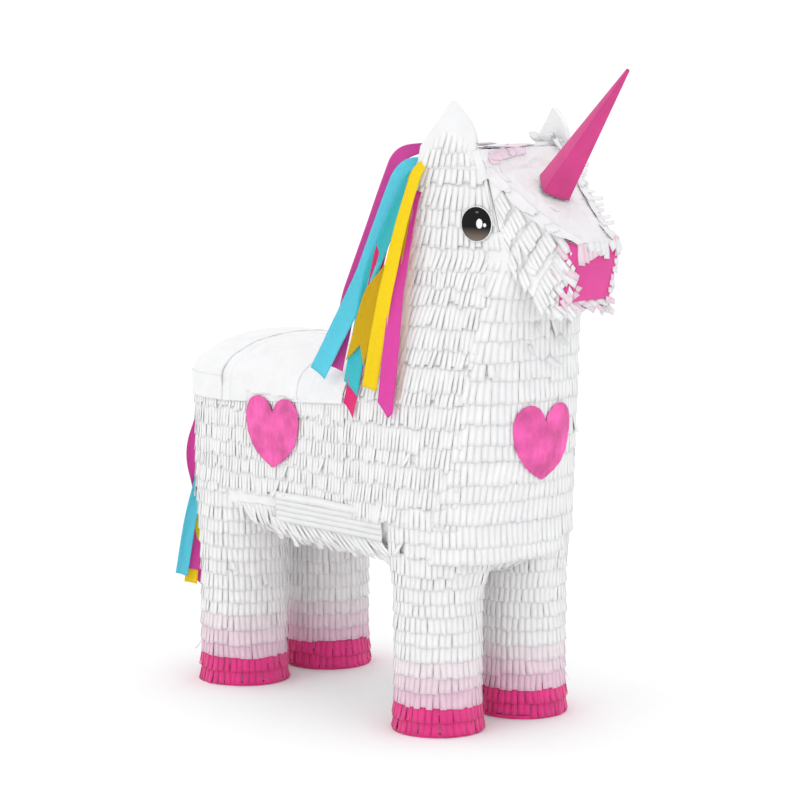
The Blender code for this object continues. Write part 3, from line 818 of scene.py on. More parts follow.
def flap(paper, root, reach, outward, width, length, bend, rng, finish=0):
    """A small loose strip of tissue that starts at root and bends outward as it goes."""
    across = reach.cross(outward).normalized()
    twist = rng.uniform(-0.5, 0.5)
    pairs = []
    spot = root
    heading = reach.normalized()
    for step in range(6):
        share = step / 5
        half = width / 2.0 * (1.0 - 0.15 * share)
        side = (across + outward * twist * share).normalized()
        pairs.append((paper.point(spot - side * half), paper.point(spot + side * half)))
        heading = (heading + outward * bend / 5).normalized()
        spot = spot + heading * length / 5
    paper.strip(pairs, finish)


# ---------------------------------------------------------------- fringe on the shell
def fringe_piece(paper, name):
    paper.make("fringe_" + name, [white_tissue], "white_fringe")


def clear_of_legs(place):
    for _, x, y in LEG_PLACES:
        if math.hypot(place.x - x, place.y - y - FRONT_LEG_Y) < LEG_RADIUS + 0.004:
            return False
    return True


def ear_limits(side, v):
    """The part of the neck's side that reaches up to height v, from nape to forehead."""
    if v <= HEAD_TOP:
        return 0.004, 0.996
    share = 1.0 if side < 0 else LEFT_EAR_SHARE
    steps = [step / 200 for step in range(201)]
    inside = [t for t in steps if HEAD_TOP + ear_height(t) * share >= v + 0.0005]
    if len(inside) < 8:
        return None
    return inside[0] + 0.01, inside[-1] - 0.01


def neck_and_cheek(side):
    """The neck's side, carried on past its front edge over the muzzle's cheek."""
    neck = neck_skin(side)
    muzzle = muzzle_skin(side)

    def skin(u, v):
        past = (u if side < 0 else 1.0 - u) - 1.0
        if past <= 0.0:
            return neck(u, v)
        height = clamp((v - 0.405) / 0.067)
        return muzzle(height if side < 0 else 1.0 - height, MUZZLE_LENGTH - 0.10 * past)
    return skin


def fringe_neck_sides():
    heights = [0.2000 + NECK_ROW_PITCH * number for number in range(18)] + [0.5020, 0.5130]
    for side, name in SIDES:
        rng = random.Random(11 + side)
        paper = Paper()
        skin = neck_and_cheek(side)
        for v in heights:
            limits = ear_limits(side, v)
            if limits is None:
                continue
            start, end = limits
            if 0.418 < v < 0.490:
                end = 0.99 + rng.uniform(-0.02, 0.02)
            if side > 0:
                start, end = 1.0 - end, 1.0 - start
            high = clamp((v - 0.30) / 0.16)
            lean = mix(-0.10, 0.17, clamp((v - 0.40) / 0.09)) if v > 0.335 else 0.0
            row = Row(tab=mix(0.0042, 0.0054, high), lean=side * lean,
                      louvre=mix(0.090, 0.080, high), lift=mix(0.0012, 0.0009, high),
                      ragged=0.10, curl=0.0003, wander=0.0010)
            fringe_row(paper, skin, v, start, end, row, rng)
        fringe_piece(paper, "neck_" + name)


def fringe_chest():
    rng = random.Random(21)
    paper = Paper()
    hem = [(0.172, 0.64)]
    rows = [(0.1885 + CHEST_ROW_PITCH * number, 0.81) for number in range(13)]
    for v, end in hem + rows:
        row = Row(tab=0.0056, louvre=0.03, lift=0.0013, ragged=0.035, sway=0.012,
                  stray=0.008, base=0.0012, wander=0.0014, curl=0.0003)
        spread = 0.13 * (1.0 - clamp((v - 0.165) / 0.10))
        start = 0.19 - spread - rng.uniform(0.0, 0.025)
        if end > 0.8:
            end += spread
        end += rng.uniform(0.0, 0.02)
        fringe_row(paper, chest_skin, v, start, end, row, rng)
    fringe_piece(paper, "chest")


def fringe_nape():
    rng = random.Random(31)
    paper = Paper()
    v = 0.3330
    while v < 0.492:
        fringe_row(paper, nape_skin, v, 0.0, 1.0, Row(louvre=0.05, lift=0.0010), rng)
        v += NAPE_ROW_PITCH
    fringe_piece(paper, "nape")


def swollen(skin, swell):
    """The same skin pushed outward by swell(place), where the fringe stands thicker."""
    def grown(u, v):
        place = skin(u, v)
        amount = swell(place)
        if amount <= 0.0:
            return place
        return place + skin_frame(skin, u, v)[3] * amount
    return grown


def behind(place):
    """How far the fringe stands out on the rump and the hind legs."""
    return 0.0042 * clamp((place.y - FRONT_LEG_Y - 0.245) / 0.05)


def over_the_edge(place):
    """How far the rump's smooth tissue flares out to lap over the fringe below it."""
    return (behind(place) + 0.0012) * clamp((FLANK_HIGH + 0.020 - place.z) / 0.020)


def fringe_barrel():
    rng = random.Random(41)
    paper = Paper()
    skin = swollen(barrel_skin, behind)
    for v in (0.2030, 0.2170, 0.2310, 0.2450, 0.2590, 0.2730, 0.2805):
        row = Row(depth=0.0215, tab=0.0041, louvre=0.060, lift=0.0011, ragged=0.10,
                  curl=0.0003, sway=0.04, wander=0.0014)
        fringe_row(paper, skin, v, 0.0, 1.0, row, rng)
    back_row = Row(depth=0.0250, tab=0.0042, louvre=0.08, lift=0.0014, ragged=0.12)
    fringe_row(paper, skin, 0.190, 0.30, 0.70, back_row, rng)
    fringe_piece(paper, "barrel")


def fold_strips():
    """Narrow folded strips under the flanks' lower edges, each lapping the next."""
    rng = random.Random(45)
    steps = 60
    for side, name in SIDES:
        paper = Paper()
        for number in range(5):
            v = 0.1830 - FOLD_PITCH * number
            high = mix(0.0034, 0.0022, number / 4.0)
            pairs = []
            for step in range(steps + 1):
                y = mix(0.026, 0.166, step / steps)
                wave = 0.0009 * noise.noise(Vector((y * 22.0, number * 3.0, side * 2.0)))
                top = world(side * (BODY_HALF_WIDTH + high - 0.0009), y, v + 0.0062 + wave)
                low = world(side * (BODY_HALF_WIDTH + high + wave * 0.6), y,
                            v - 0.0012 + wave + 0.0004 * rng.random())
                pairs.append((paper.point(top), paper.point(low)))
            if side < 0:
                pairs = [(low, top) for top, low in pairs]
            paper.strip(pairs)
        paper.make("fold_strips_" + name, [smooth_tissue], "white_fringe")


def apron_skin(side):
    """Hangs inward from the fold strips towards the belly; v is the height."""
    def skin(u, v):
        y = mix(0.178, 0.030, u) if side < 0 else mix(0.030, 0.178, u)
        inward = clamp((0.166 - v) / 0.05) ** 1.3 * 0.022
        return world(side * (BODY_HALF_WIDTH - 0.001 - inward), y, v)
    return skin


def fringe_belly():
    rng = random.Random(51)
    paper = Paper()
    for number, v in enumerate((0.014, 0.030, 0.045, 0.057, 0.068)):
        row = Row(depth=0.0250, tab=0.0060, louvre=0.08, lift=0.0032, ragged=0.16,
                  lean=0.45 if number % 2 else -0.30, sway=0.22, stray=0.08,
                  curl=0.0012)
        fringe_row(paper, belly_skin, v, 0.0, 1.0, row, rng, 0.001, clear_of_legs)
    for side in (-1, 1):
        for number, v in enumerate((0.1560, 0.1610, 0.1655)):
            row = Row(depth=0.0155, tab=0.0068, louvre=0.06, lift=0.0014 * number,
                      ragged=0.20, lean=side * (-0.75 if number == 1 else -1.05),
                      sway=0.12, stray=0.10, curl=0.0010, wander=0.002)
            fringe_row(paper, apron_skin(side), v, 0.0, 1.0, row, rng)
    fringe_piece(paper, "belly")


class LegSkin:
    """A leg's round tube, which swells at the top to meet the body's outline."""

    def __init__(self, x, y):
        self.x = x
        self.y = y
        outward = Vector((math.copysign(1.0, x), math.copysign(1.0, y - 0.5 * WHEELBASE), 0.0))
        outward.normalize()
        spots = [outline(step / 400) for step in range(401)]
        self.reach = []
        for step in range(LEG_SPOKES):
            angle = 2.0 * math.pi * step / LEG_SPOKES
            ray = Vector((math.cos(angle), math.sin(angle), 0.0))
            facing = clamp((ray.dot(outward) + 0.15) / 0.5)
            best = LEG_RADIUS + 0.026
            for near_x, near_y in spots:
                offset = Vector((math.copysign(near_x, x) - x, near_y - y, 0.0))
                if offset.length > 1e-6 and offset.normalized().dot(ray) > 0.9985:
                    best = min(best, offset.length + 0.0004)
            self.reach.append(mix(LEG_RADIUS, max(best, LEG_RADIUS), facing))
        for _ in range(3):
            self.reach = [(self.reach[n - 1] + 2.0 * self.reach[n]
                           + self.reach[(n + 1) % LEG_SPOKES]) / 4.0
                          for n in range(LEG_SPOKES)]

    def __call__(self, u, v):
        place = (u % 1.0) * LEG_SPOKES
        at = int(place) % LEG_SPOKES
        wide = mix(self.reach[at], self.reach[(at + 1) % LEG_SPOKES], place - int(place))
        share = clamp((v - 0.105) / 0.080)
        radius = mix(LEG_RADIUS, wide, share * share * (3.0 - 2.0 * share))
        turn = 2.0 * math.pi * u
        return world(self.x + radius * math.cos(turn), self.y + radius * math.sin(turn), v)


def fringe_legs():
    for number, (corner, x, y) in enumerate(LEG_PLACES):
        rng = random.Random(61 + number)
        hoof = Paper()
        leg = Paper()
        skin = swollen(LegSkin(x, y), lambda place: behind(place) * 0.8)
        for v in (0.0185, 0.0310):
            row = Row(depth=0.0180, tab=0.0056, lift=0.0022, ragged=0.02, stray=0.0,
                      base=0.0008, sway=0.05)
            fringe_row(hoof, skin, v, 0.0, 1.0, row, rng)
        v = 0.0440
        level = 0
        while v < 0.196:
            row = Row(depth=0.0190, tab=0.0052, louvre=0.05, lift=0.0012, curl=0.0004,
                      finish=min(level, len(faded_tissues)))
            fringe_row(leg, skin, v, 0.0, 1.0, row, rng)
            v += LEG_ROW_PITCH
            level += 1
        hoof.make("fringe_hoof_" + corner, [hoof_tissue], "hoof_pink")
        leg.make("fringe_leg_" + corner, faded_tissues + [white_tissue], "white_fringe")


def fringe_muzzle():
    for side, name in SIDES:
        rng = random.Random(71 + side)
        paper = Paper()
        skin = cheek_skin(side)
        for number in range(10):
            v = 0.0180 + CHEEK_ROW_PITCH * number
            limits = cheek_limits(side, v)
            if limits is None:
                continue
            row = Row(depth=0.0185, tab=0.0047, louvre=0.05, lift=0.0013, ragged=0.14,
                      sway=0.04, stray=0.02, wander=0.0018)
            fringe_row(paper, skin, v, *limits, row, rng)
        fringe_piece(paper, "muzzle_" + name)
    rng = random.Random(75)
    paper = Paper()
    for v in (0.004, 0.014, 0.026, 0.040, 0.054, 0.068):
        row = Row(depth=0.014, tab=0.0070, louvre=0.1, lift=0.0026, ragged=0.20,
                  curl=0.0026, sway=0.2, stray=0.12, finish=1 if v < 0.02 else 0)
        fringe_row(paper, jaw_skin, v, 0.0, 1.0, row, rng)
    paper.make("fringe_jaw", [white_tissue, pale_pink_tissue], "white_fringe")


# ---------------------------------------------------------------- smooth parts

def bridge_skin(first, middle, last):
    """A skin through three lines: each is a function of v; u runs from first to last."""
    def skin(u, v):
        if u < 0.5:
            return first(v).lerp(middle(v), u * 2.0)
        return middle(v).lerp(last(v), u * 2.0 - 1.0)
    return skin


def brow_band(side):
    """Over the edge between the neck's side and the forehead and poll."""
    neck = neck_skin(side)

    def on_neck(v):
        height = mix(0.468, 0.4935, clamp(v * 1.6))
        t = mix(0.93, 0.90, v) if v < 0.6 else mix(0.90, 0.70, (v - 0.6) / 0.4)
        return neck(t if side < 0 else 1.0 - t, height)

    def on_edge(v):
        if v < 0.6:
            x, y = side_curve(mix(0.470, 0.495, v / 0.6), 1.0)
            return world(side * x, y, mix(0.471, 0.4945, v / 0.6))
        x, y = side_curve(0.495, mix(1.0, 0.80, (v - 0.6) / 0.4))
        return world(side * (x - 0.0010), y, 0.4945)

    def on_top(v):
        if v < 0.6:
            return forehead_skin(0.5 - side * -0.36, mix(0.083, 0.125, v / 0.6))
        return world(side * 0.046, mix(-0.0500, -0.030, (v - 0.6) / 0.4), HEAD_TOP - 0.002)

    lines = (on_neck, on_edge, on_top)
    return bridge_skin(*(lines if side < 0 else lines[::-1]))


def mantle_skin(u, v):
    """The back, carried on down over the flanks' upper edges; u 0.1 and 0.9 are the edges."""
    past = max(0.1 - u, u - 0.9, 0.0) * 10.0
    edge = back_skin(clamp((u - 0.1) / 0.8), v)
    if past > 0.0:
        edge.z -= past * mix(0.007, 0.020, clamp(v / 0.16))
        if not under_trim(edge):
            edge.x += math.copysign(0.0014 * min(past * 2.0, 1.0), u - 0.5)
    return edge


def smooth_parts():
    front = FLAP_FRONT - SHOULDER_Y
    rear = FLAP_REAR - SHOULDER_Y
    lap = 0.0020
    for name, body, u_steps, v_steps, v_low, v_high, u_low, u_high, rise in (
            ("front", "shell", 130, 40, 0.0, front + 0.0004, 0.0, 1.0, 0.0012),
            ("left", "shell", 66, 56, front - lap, rear + lap, 0.5, 1.0, 0.0012),
            ("rear", "shell", 130, 18, rear - 0.0004, 0.172, 0.0, 1.0, 0.0012),
            ("flap", "flap", 66, 56, front - lap, rear + lap, 0.0, 0.494, 0.0016)):
        tissue_skin("tissue_back_" + name, mantle_skin, u_steps, v_steps, v_low, v_high,
                    "white_fringe", body, rise, depth=0.0010, u_low=u_low, u_high=u_high)
    tissue_skin("tissue_rump", swollen(rump_top_skin, over_the_edge), 130, 60, 0.0,
                RUMP_LENGTH, "white_fringe", strip=0.018)
    tissue_skin("tissue_loin", swollen(barrel_skin, behind), 240, 12, 0.262, 0.2840,
                "white_fringe", rise=0.0030, u_low=0.172, u_high=0.828)
    tissue_skin("tissue_forehead", forehead_skin, 90, 100, 0.0, FOREHEAD_LENGTH,
                depth=0.0015, size=0.013, strip=0.03)
    tissue_skin("tissue_poll", poll_skin, 80, 50, 0.0, POLL_LENGTH, depth=0.0012)
    tissue_skin("tissue_throat", chest_skin, 60, 20, 0.372, 0.428, rise=0.0008, u_low=0.12,
                u_high=0.88)
    for side, name in SIDES:
        ear_tissue(side, name)
        tissue_skin("tissue_brow_" + name, brow_band(side), 16, 60, 0.0, 1.0, rise=0.0022,
                    depth=0.0007)


def ear_tissue(side, name):
    """Smooth tissue over both faces of an ear, above the fringe."""
    paper = Paper()
    columns, rows = 40, 26
    skin = neck_skin(side)
    share = 1.0 if side < 0 else LEFT_EAR_SHARE

    def ear_face(outer):
        low = 0.478 if outer else HEAD_TOP - 0.006

        def place(column, row):
            u = mix(0.004, 0.996, column / columns)
            top = HEAD_TOP + ear_height(u if side < 0 else 1.0 - u) * share + 0.0008
            v = mix(low, max(top, low + 0.001), row / rows)
            normal = skin_frame(skin, clamp(u, 0.02, 0.98), v)[3]
            middle = skin(u, v)
            high = 0.0008 + crumple(middle, 0.011, 0.0005)
            if not outer:
                high = -0.0020 - max(high, 0.0004)
            return middle + normal * max(high, -0.0040)

        points = paper.grid(columns, rows, place, flip=not outer)
        return [points[column, rows] for column in range(columns + 1)]

    outer_rim = ear_face(True)
    paper.strip(list(zip(ear_face(False), outer_rim)))
    paper.make("tissue_ear_" + name, [smooth_tissue], "white_tissue", 0.0002)


def torn_patches():
    rng = random.Random(81)
    head = Paper()
    for _ in range(3):
        torn_patch(head, forehead_skin, rng.uniform(0.2, 0.8), rng.uniform(0.03, 0.10),
                   rng.uniform(0.034, 0.052), rng.uniform(0.016, 0.026),
                   rng.uniform(-0.9, 0.9), rng, 0.0016, 0.0001)
    for u, v, width, height, finish in ((0.22, 0.117, 0.030, 0.010, 1),
                                        (0.38, 0.120, 0.022, 0.009, 1),
                                        (0.12, 0.112, 0.014, 0.009, 2)):
        torn_patch(head, forehead_skin, u, v, width, height, 0.1, rng, 0.0026, 0.0016, finish)
    for u, v, turn in ((0.86, 0.006, 0.3), (0.80, 0.016, -0.4), (0.90, 0.022, 0.8)):
        torn_patch(head, poll_skin, u, v, 0.020, 0.014, turn, rng, 0.0062, 0.0060)
    for v in (0.020, 0.045, 0.070, 0.095):
        for u in (0.02, 0.98):
            torn_patch(head, forehead_skin, u, v + rng.uniform(-0.006, 0.006), 0.012,
                       0.034, 0.0, rng, 0.0026, 0.0014)
    for _ in range(5):
        torn_patch(head, poll_skin, rng.uniform(0.2, 0.8), rng.uniform(0.008, 0.043),
                   rng.uniform(0.024, 0.044), rng.uniform(0.014, 0.024),
                   rng.uniform(-0.5, 0.5), rng, 0.0022, 0.0008)
    torn_patch(head, poll_skin, 0.30, 0.034, 0.046, 0.020, 0.1, rng, 0.0036, 0.0026, 1)
    torn_patch(head, poll_skin, 0.55, 0.018, 0.040, 0.014, 0.2, rng, 0.0030, finish=2)
    head.make("torn_tissue_head", [smooth_tissue, mauve_tissue, pale_pink_tissue],
              "white_tissue")


def loose_scraps():
    """Loose curls on the far edge of the forehead and on the throat."""
    rng = random.Random(91)
    paper = Paper()
    for number in range(12):
        spot, along, _, normal = skin_frame(forehead_skin, 0.97, 0.030 + 0.0075 * number)
        reach = along - Vector((0, 0, 0.4)) + normal * rng.uniform(-0.1, 0.8)
        flap(paper, spot + normal * 0.002, reach.normalized(), normal,
             rng.uniform(0.004, 0.006), rng.uniform(0.008, 0.015), rng.uniform(-0.5, 1.0),
             rng)
    for _ in range(7):
        spot, _, _, normal = skin_frame(jaw_skin, rng.uniform(0.1, 0.9),
                                        rng.uniform(0.004, 0.05))
        reach = (normal + Vector((rng.uniform(-0.8, 0.8), -0.5, 0.0))).normalized()
        flap(paper, spot + normal * 0.001, reach, Vector((0.0, -1.0, 0.0)),
             rng.uniform(0.004, 0.0055), rng.uniform(0.010, 0.016), rng.uniform(-1.0, 1.0),
             rng)
    for u, v, lean in ((0.46, 0.352, -0.7), (0.54, 0.340, 0.5), (0.43, 0.334, -0.4),
                       (0.50, 0.322, 0.8), (0.60, 0.350, -0.6)):
        spot, along, up, normal = skin_frame(chest_skin, u, v)
        reach = (normal * 0.8 - up.normalized() + along * lean).normalized()
        flap(paper, spot + normal * 0.003, reach, normal, rng.uniform(0.005, 0.007),
             rng.uniform(0.012, 0.018), rng.uniform(0.4, 1.2), rng)
    paper.make("loose_scraps", [white_tissue], "white_fringe")


# ---------------------------------------------------------------- trims
def nose_spot(side, high, out=0.0):
    """A place on the nose plate: side and high run from -1 to 1, out is forward."""
    local = Vector((side * NOSE_WIDTH / 2.0, -0.0010 - out, high * NOSE_HEIGHT / 2.0))
    return world(*NOSE_CENTRE) + Matrix.Rotation(NOSE_TILT, 3, "X") @ local


def paper_nose():
    """A folded pink paper cap over the muzzle's end."""
    paper = Paper()
    steps = 14

    def place(column, row):
        side = 2.0 * column / steps - 1.0
        high = 2.0 * row / steps - 1.0
        puff = 0.0010 * (1.0 - side ** 2) * (1.0 - high ** 2)
        return nose_spot(side, high, 0.0008 + puff)

    points = paper.grid(steps, steps, place)
    numbers = range(steps + 1)
    # Each of the cap's four edges is carried back over the skin next to it.
    for skin, edge, v, rise, flip in (
            (muzzle_skin(-1), [points[0, n] for n in numbers], 0.017, 0.0012, True),
            (muzzle_skin(1), [points[steps, n] for n in numbers], 0.017, 0.0012, False),
            (forehead_skin, [points[n, steps] for n in numbers], 0.006, 0.0006, True),
            (jaw_skin, [points[n, 0] for n in numbers], 0.006, 0.0006, False)):
        back = []
        for n in numbers:
            middle, _, _, normal = skin_frame(skin, n / steps if flip else 1.0 - n / steps, v)
            back.append(paper.point(middle + normal * rise))
        paper.strip(list(zip(back, edge) if flip else zip(edge, back)))
    nose = paper.make("paper_nose", [nose_tissue], "nose_pink", PAPER_THICKNESS, 25.0)
    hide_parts("nose_plate")
    nose_flaps()


def nose_tab(paper, start, end, width, lift, rng, finish):
    """A flat tab of tissue from start to end, each given as side, high and out."""
    root, tip = nose_spot(*start), nose_spot(*end)
    outward = (nose_spot(0, 0, 0.01) - nose_spot(0, 0)).normalized()
    if min(start[0], end[0]) < -1.05:
        outward = (outward + (nose_spot(-1, 0) - nose_spot(1, 0)).normalized()).normalized()
    heading = tip - root
    across = heading.cross(outward).normalized()
    pairs = []
    for step in range(5):
        share = step / 4
        spot = root.lerp(tip, share) + outward * lift * math.sin(math.pi * 0.7 * share)
        half = width / 2.0 * (1.0 + 0.1 * rng.uniform(-1.0, 1.0))
        slant = 0.0012 * rng.uniform(-1.0, 1.0) if step == 4 else 0.0
        pairs.append((paper.point(spot - across * half + heading.normalized() * slant),
                      paper.point(spot + across * half - heading.normalized() * slant)))
    paper.strip(pairs, finish)


def nose_flaps():
    """Torn tissue tabs that lap over the edges of the nose."""
    rng = random.Random(101)
    paper = Paper()
    # A slanting row of pale tabs over the upper right corner.
    for number in range(5):
        side = -1.06 + 0.20 * number
        nose_tab(paper, (side, 1.14, 0.0006), (side + 0.16, 0.36 + 0.09 * number, 0.0034),
                 0.0052, 0.001, rng, 1)
    # White teeth that hang from the forehead over the upper edge.
    for side, drop, width in ((-0.52, 0.14, 0.0080), (-0.22, 0.20, 0.0085),
                              (0.08, 0.32, 0.0085), (0.30, 0.46, 0.0060),
                              (0.62, 0.12, 0.0070), (0.90, 0.24, 0.0060)):
        nose_tab(paper, (side - 0.10, 1.16, 0.0010), (side + 0.04, 1.0 - drop, 0.0030),
                 width, 0.0008, rng, 0)
    # Square tabs that point across the folded edge on the right.
    for high, reach, finish in ((-0.02, -0.92, 1), (-0.26, -0.98, 0), (-0.48, -0.70, 1),
                                (-0.72, -0.78, 1), (-0.90, -1.02, 1)):
        nose_tab(paper, (-1.20, high + 0.16, -0.0130), (reach, high - 0.10, 0.0030),
                 0.0056, 0.0018, rng, finish)
    for number in range(6):
        high = mix(0.9, -1.0, number / 5) + rng.uniform(-0.08, 0.08)
        nose_tab(paper, (-1.30, high + 0.27, -0.020), (-1.12, high - 0.15, -0.0090),
                 rng.uniform(0.0050, 0.0068), 0.0012, rng, 1 if number % 2 else 0)
    # The left edge, and a ruff of strips below.
    for number in range(7):
        high = mix(0.9, -0.85, number / 6) + rng.uniform(-0.08, 0.08)
        nose_tab(paper, (1.08, high + 0.30, -0.006),
                 (rng.uniform(0.86, 1.02), high - 0.30, 0.0018),
                 rng.uniform(0.004, 0.007), 0.0015, rng, 0 if number % 3 else 1)
    for number in range(13):
        side = mix(-1.15, 0.9, number / 12) + rng.uniform(-0.05, 0.05)
        low = rng.uniform(-1.50, -1.15)
        away = rng.uniform(0.15, 0.55)
        nose_tab(paper, (side - away * 0.5, -1.02, -0.004), (side + away, low, 0.0030),
                 rng.uniform(0.0035, 0.0055), -0.001, rng, 0 if number % 3 == 1 else 1)
    paper.make("nose_flaps", [smooth_tissue, pale_pink_tissue], "white_tissue")


def rolled_horn():
    """A sheet of paper rolled to a cone; its outer edge runs down the right side."""
    base, tip = world(*HORN_BASE), world(*HORN_TIP)
    axis = (tip - base).normalized()
    first = Vector((-0.94, -0.34, 0.0))
    first = (first - axis * first.dot(axis)).normalized()
    second = axis.cross(first)
    rng = random.Random(111)
    turns, rings = 80, 44

    def place(step, ring):
        part = step / turns
        angle = part * HORN_WRAP
        radius = mix(HORN_RADIUS, HORN_TIP_RADIUS, ring / rings)
        square = 0.80 / math.cos((angle % (math.pi / 2)) - math.pi / 4)
        wall = radius * (mix(1.0, square, 0.85) + 0.05 - 0.05 * part)
        along = mix(0.0018, (tip - base).length, ring / rings)
        if ring == 0:
            along += 0.0014 * noise.noise(Vector((angle * 1.6, 0.0, 3.0)))
            wall += 0.0006 * rng.random()
        return base + axis * along + (first * math.cos(angle)
                                      + second * math.sin(angle)) * wall

    paper = Paper()
    paper.grid(turns, rings, place)
    horn = paper.make("rolled_horn", [horn_tissue], "horn_pink", PAPER_THICKNESS, 30.0)
    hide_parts("horn")


# The discs of an eye: place forward, up and outward from its middle, half width, half
# height, how much it domes, finish (white, black or grey) and rings. The grey disc is a
# painted reflection on the glossy black.
EYE_DISCS = [
    (0.0, 0.0, 0.0, 0.0148, 0.0148, 0.0004, 0, 8),
    (0.0, 0.0, 0.0004, 0.0140, 0.0141, 0.0011, 1, 8),
    (0.0036, 0.0005, 0.0017, 0.0029, 0.0040, 0.0001, 0, 3),
    (0.0085, -0.0006, 0.0014, 0.0014, 0.0016, 0.0001, 0, 3),
    # Painted reflection: a small grey patch near the top of the glossy black disc.
    (0.0012, 0.0098, 0.0013, 0.0016, 0.0008, 0.0001, 2, 3),
]


def disc(paper, centre, across, up, normal, width, height, dome, finish, rings):
    spokes = 48
    inner = [paper.point(centre + normal * dome)]
    for ring in range(1, rings + 1):
        share = ring / rings
        line = []
        for spoke in range(spokes):
            angle = 2.0 * math.pi * spoke / spokes
            line.append(paper.point(centre + across * math.cos(angle) * width * share
                                    + up * math.sin(angle) * height * share
                                    + normal * dome * (1.0 - share ** 2)))
        paper.ring(inner, line, finish)
        inner = line


def eyes():
    for side, name in SIDES:
        low, high = [Vector(corner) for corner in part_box("eye_" + name)]
        centre = (low + high) / 2.0
        skin = neck_skin(side)
        best = min(range(1, 100), key=lambda n: (skin(n / 100, centre.z) - centre).length)
        middle, along, _, normal = skin_frame(skin, best / 100, centre.z)
        forward = along if along.y < 0.0 else -along
        up = normal.cross(along).normalized()
        centre = middle + normal * (TRIM_LIFT + 0.0006)
        paper = Paper()
        for ahead, above, out, *shape in EYE_DISCS:
            spot = centre + normal * out + forward * ahead + up * above
            disc(paper, spot, along, up, normal, *shape)
        eye = paper.make("eye_sticker_" + name, [eye_white, eye_black, eye_reflection_grey], "eye_print",
                         PAPER_THICKNESS)
        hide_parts("eye_" + name)


def heart_edge(angle):
    """The heart's outline about its middle, for a heart 1 wide and 1 high."""
    turn = math.sin(angle)
    power = 2.8
    if math.cos(angle) < 0.0:
        power = mix(0.9, 1.8, math.acos(min(1.0, abs(turn))) ** 3 / (math.pi / 2) ** 3)
    x = math.copysign(abs(turn) ** power, turn)
    y = (13.0 * math.cos(angle) - 5.0 * math.cos(2 * angle)
         - 2.0 * math.cos(3 * angle) - math.cos(4 * angle))
    return x / 2.0, (y + 2.5) / 29.0


def heart(node, place, width, height, seed):
    """A heart of creased tissue; place(x, z) gives a spot and normal on the shell."""
    paper = Paper()
    spokes, rings = 132, 26
    shift = Vector((seed * 3.1, seed * 1.7, 0.0))
    inner = None
    for ring in range(rings + 1):
        line = []
        for spoke in range(spokes if ring else 1):
            x, z = heart_edge(2.0 * math.pi * spoke / spokes)
            wavy = 1.0 + 0.012 * noise.noise(shift + Vector((x * 9.0, z * 9.0, 5.0)))
            x, z = x * ring / rings * width * wavy, z * ring / rings * height * wavy
            spot, normal = place(x, z)
            fold = noise.noise(shift + Vector((x * 420.0, z * 75.0, 0.0)))
            crease = 1.0 - 2.0 * abs(noise.noise(shift + Vector((x * 150, z * 60, 9.0))))
            high = TRIM_LIFT + 0.0004 + 0.00036 * fold + 0.0006 * max(crease, 0.0) ** 3
            line.append(paper.point(spot + normal * high))
        if ring:
            paper.ring(inner, line, flip=True)
        inner = line
    piece = paper.make("tissue_" + node, [heart_tissue], "heart_pink", PAPER_THICKNESS, 80.0)
    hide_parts(node)


def chest_place(x, z):
    """The place on the chest at a horizontal distance x from its middle."""
    low, high = 0.2, 0.8
    for _ in range(24):
        middle = (low + high) / 2.0
        if chest_skin(middle, z).x < x:
            low = middle
        else:
            high = middle
    spot, _, _, normal = skin_frame(chest_skin, (low + high) / 2.0, z)
    return spot, normal


def hearts():
    for node in HEARTS:
        low, high = [Vector(corner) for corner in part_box(node)]
        centre, size = (low + high) / 2.0, high - low
        side = -1.0 if centre.x < 0.0 else 1.0

        def on_chest(x, z):
            return chest_place(x, centre.z + z)

        def on_flank(x, z):
            spot = Vector((side * BODY_HALF_WIDTH, centre.y + side * x, centre.z + z))
            return spot, Vector((side, 0.0, 0.0))

        if node == "heart_chest":
            heart(node, on_chest, size.x, size.z, 1.0)
        else:
            heart(node, on_flank, size.y, size.z, 2.0 + side)


# ---------------------------------------------------------------- ribbons
def ribbon_route(softness, *places):
    """A line through places by share of its length, its corners rounded by softness."""
    spots = [world(*place) for place in places]
    marks = [0.0]
    for a, b in zip(spots, spots[1:]):
        marks.append(marks[-1] + (b - a).length)

    def straight(v):
        index = 0
        while index < len(spots) - 2 and marks[index + 1] < v * marks[-1]:
            index += 1
        share = (v * marks[-1] - marks[index]) / (marks[index + 1] - marks[index])
        return spots[index] + (spots[index + 1] - spots[index]) * share

    def route(v):
        total = Vector((0.0, 0.0, 0.0))
        for step in range(-4, 5):
            total += straight(v + softness * step / 4.0)
        return total / 9.0
    return route


def end_cut(kind, across):
    """How much of a ribbon's length its end cut takes away at a place across it."""
    if kind == "notch":
        return 0.07 * (1.0 - 2.0 * abs(across))
    if kind == "point":
        return 0.07 * abs(across + 0.2)
    if kind == "slant":
        return 0.04 * (across + 0.5)
    return 0.006 * (across + 0.5)


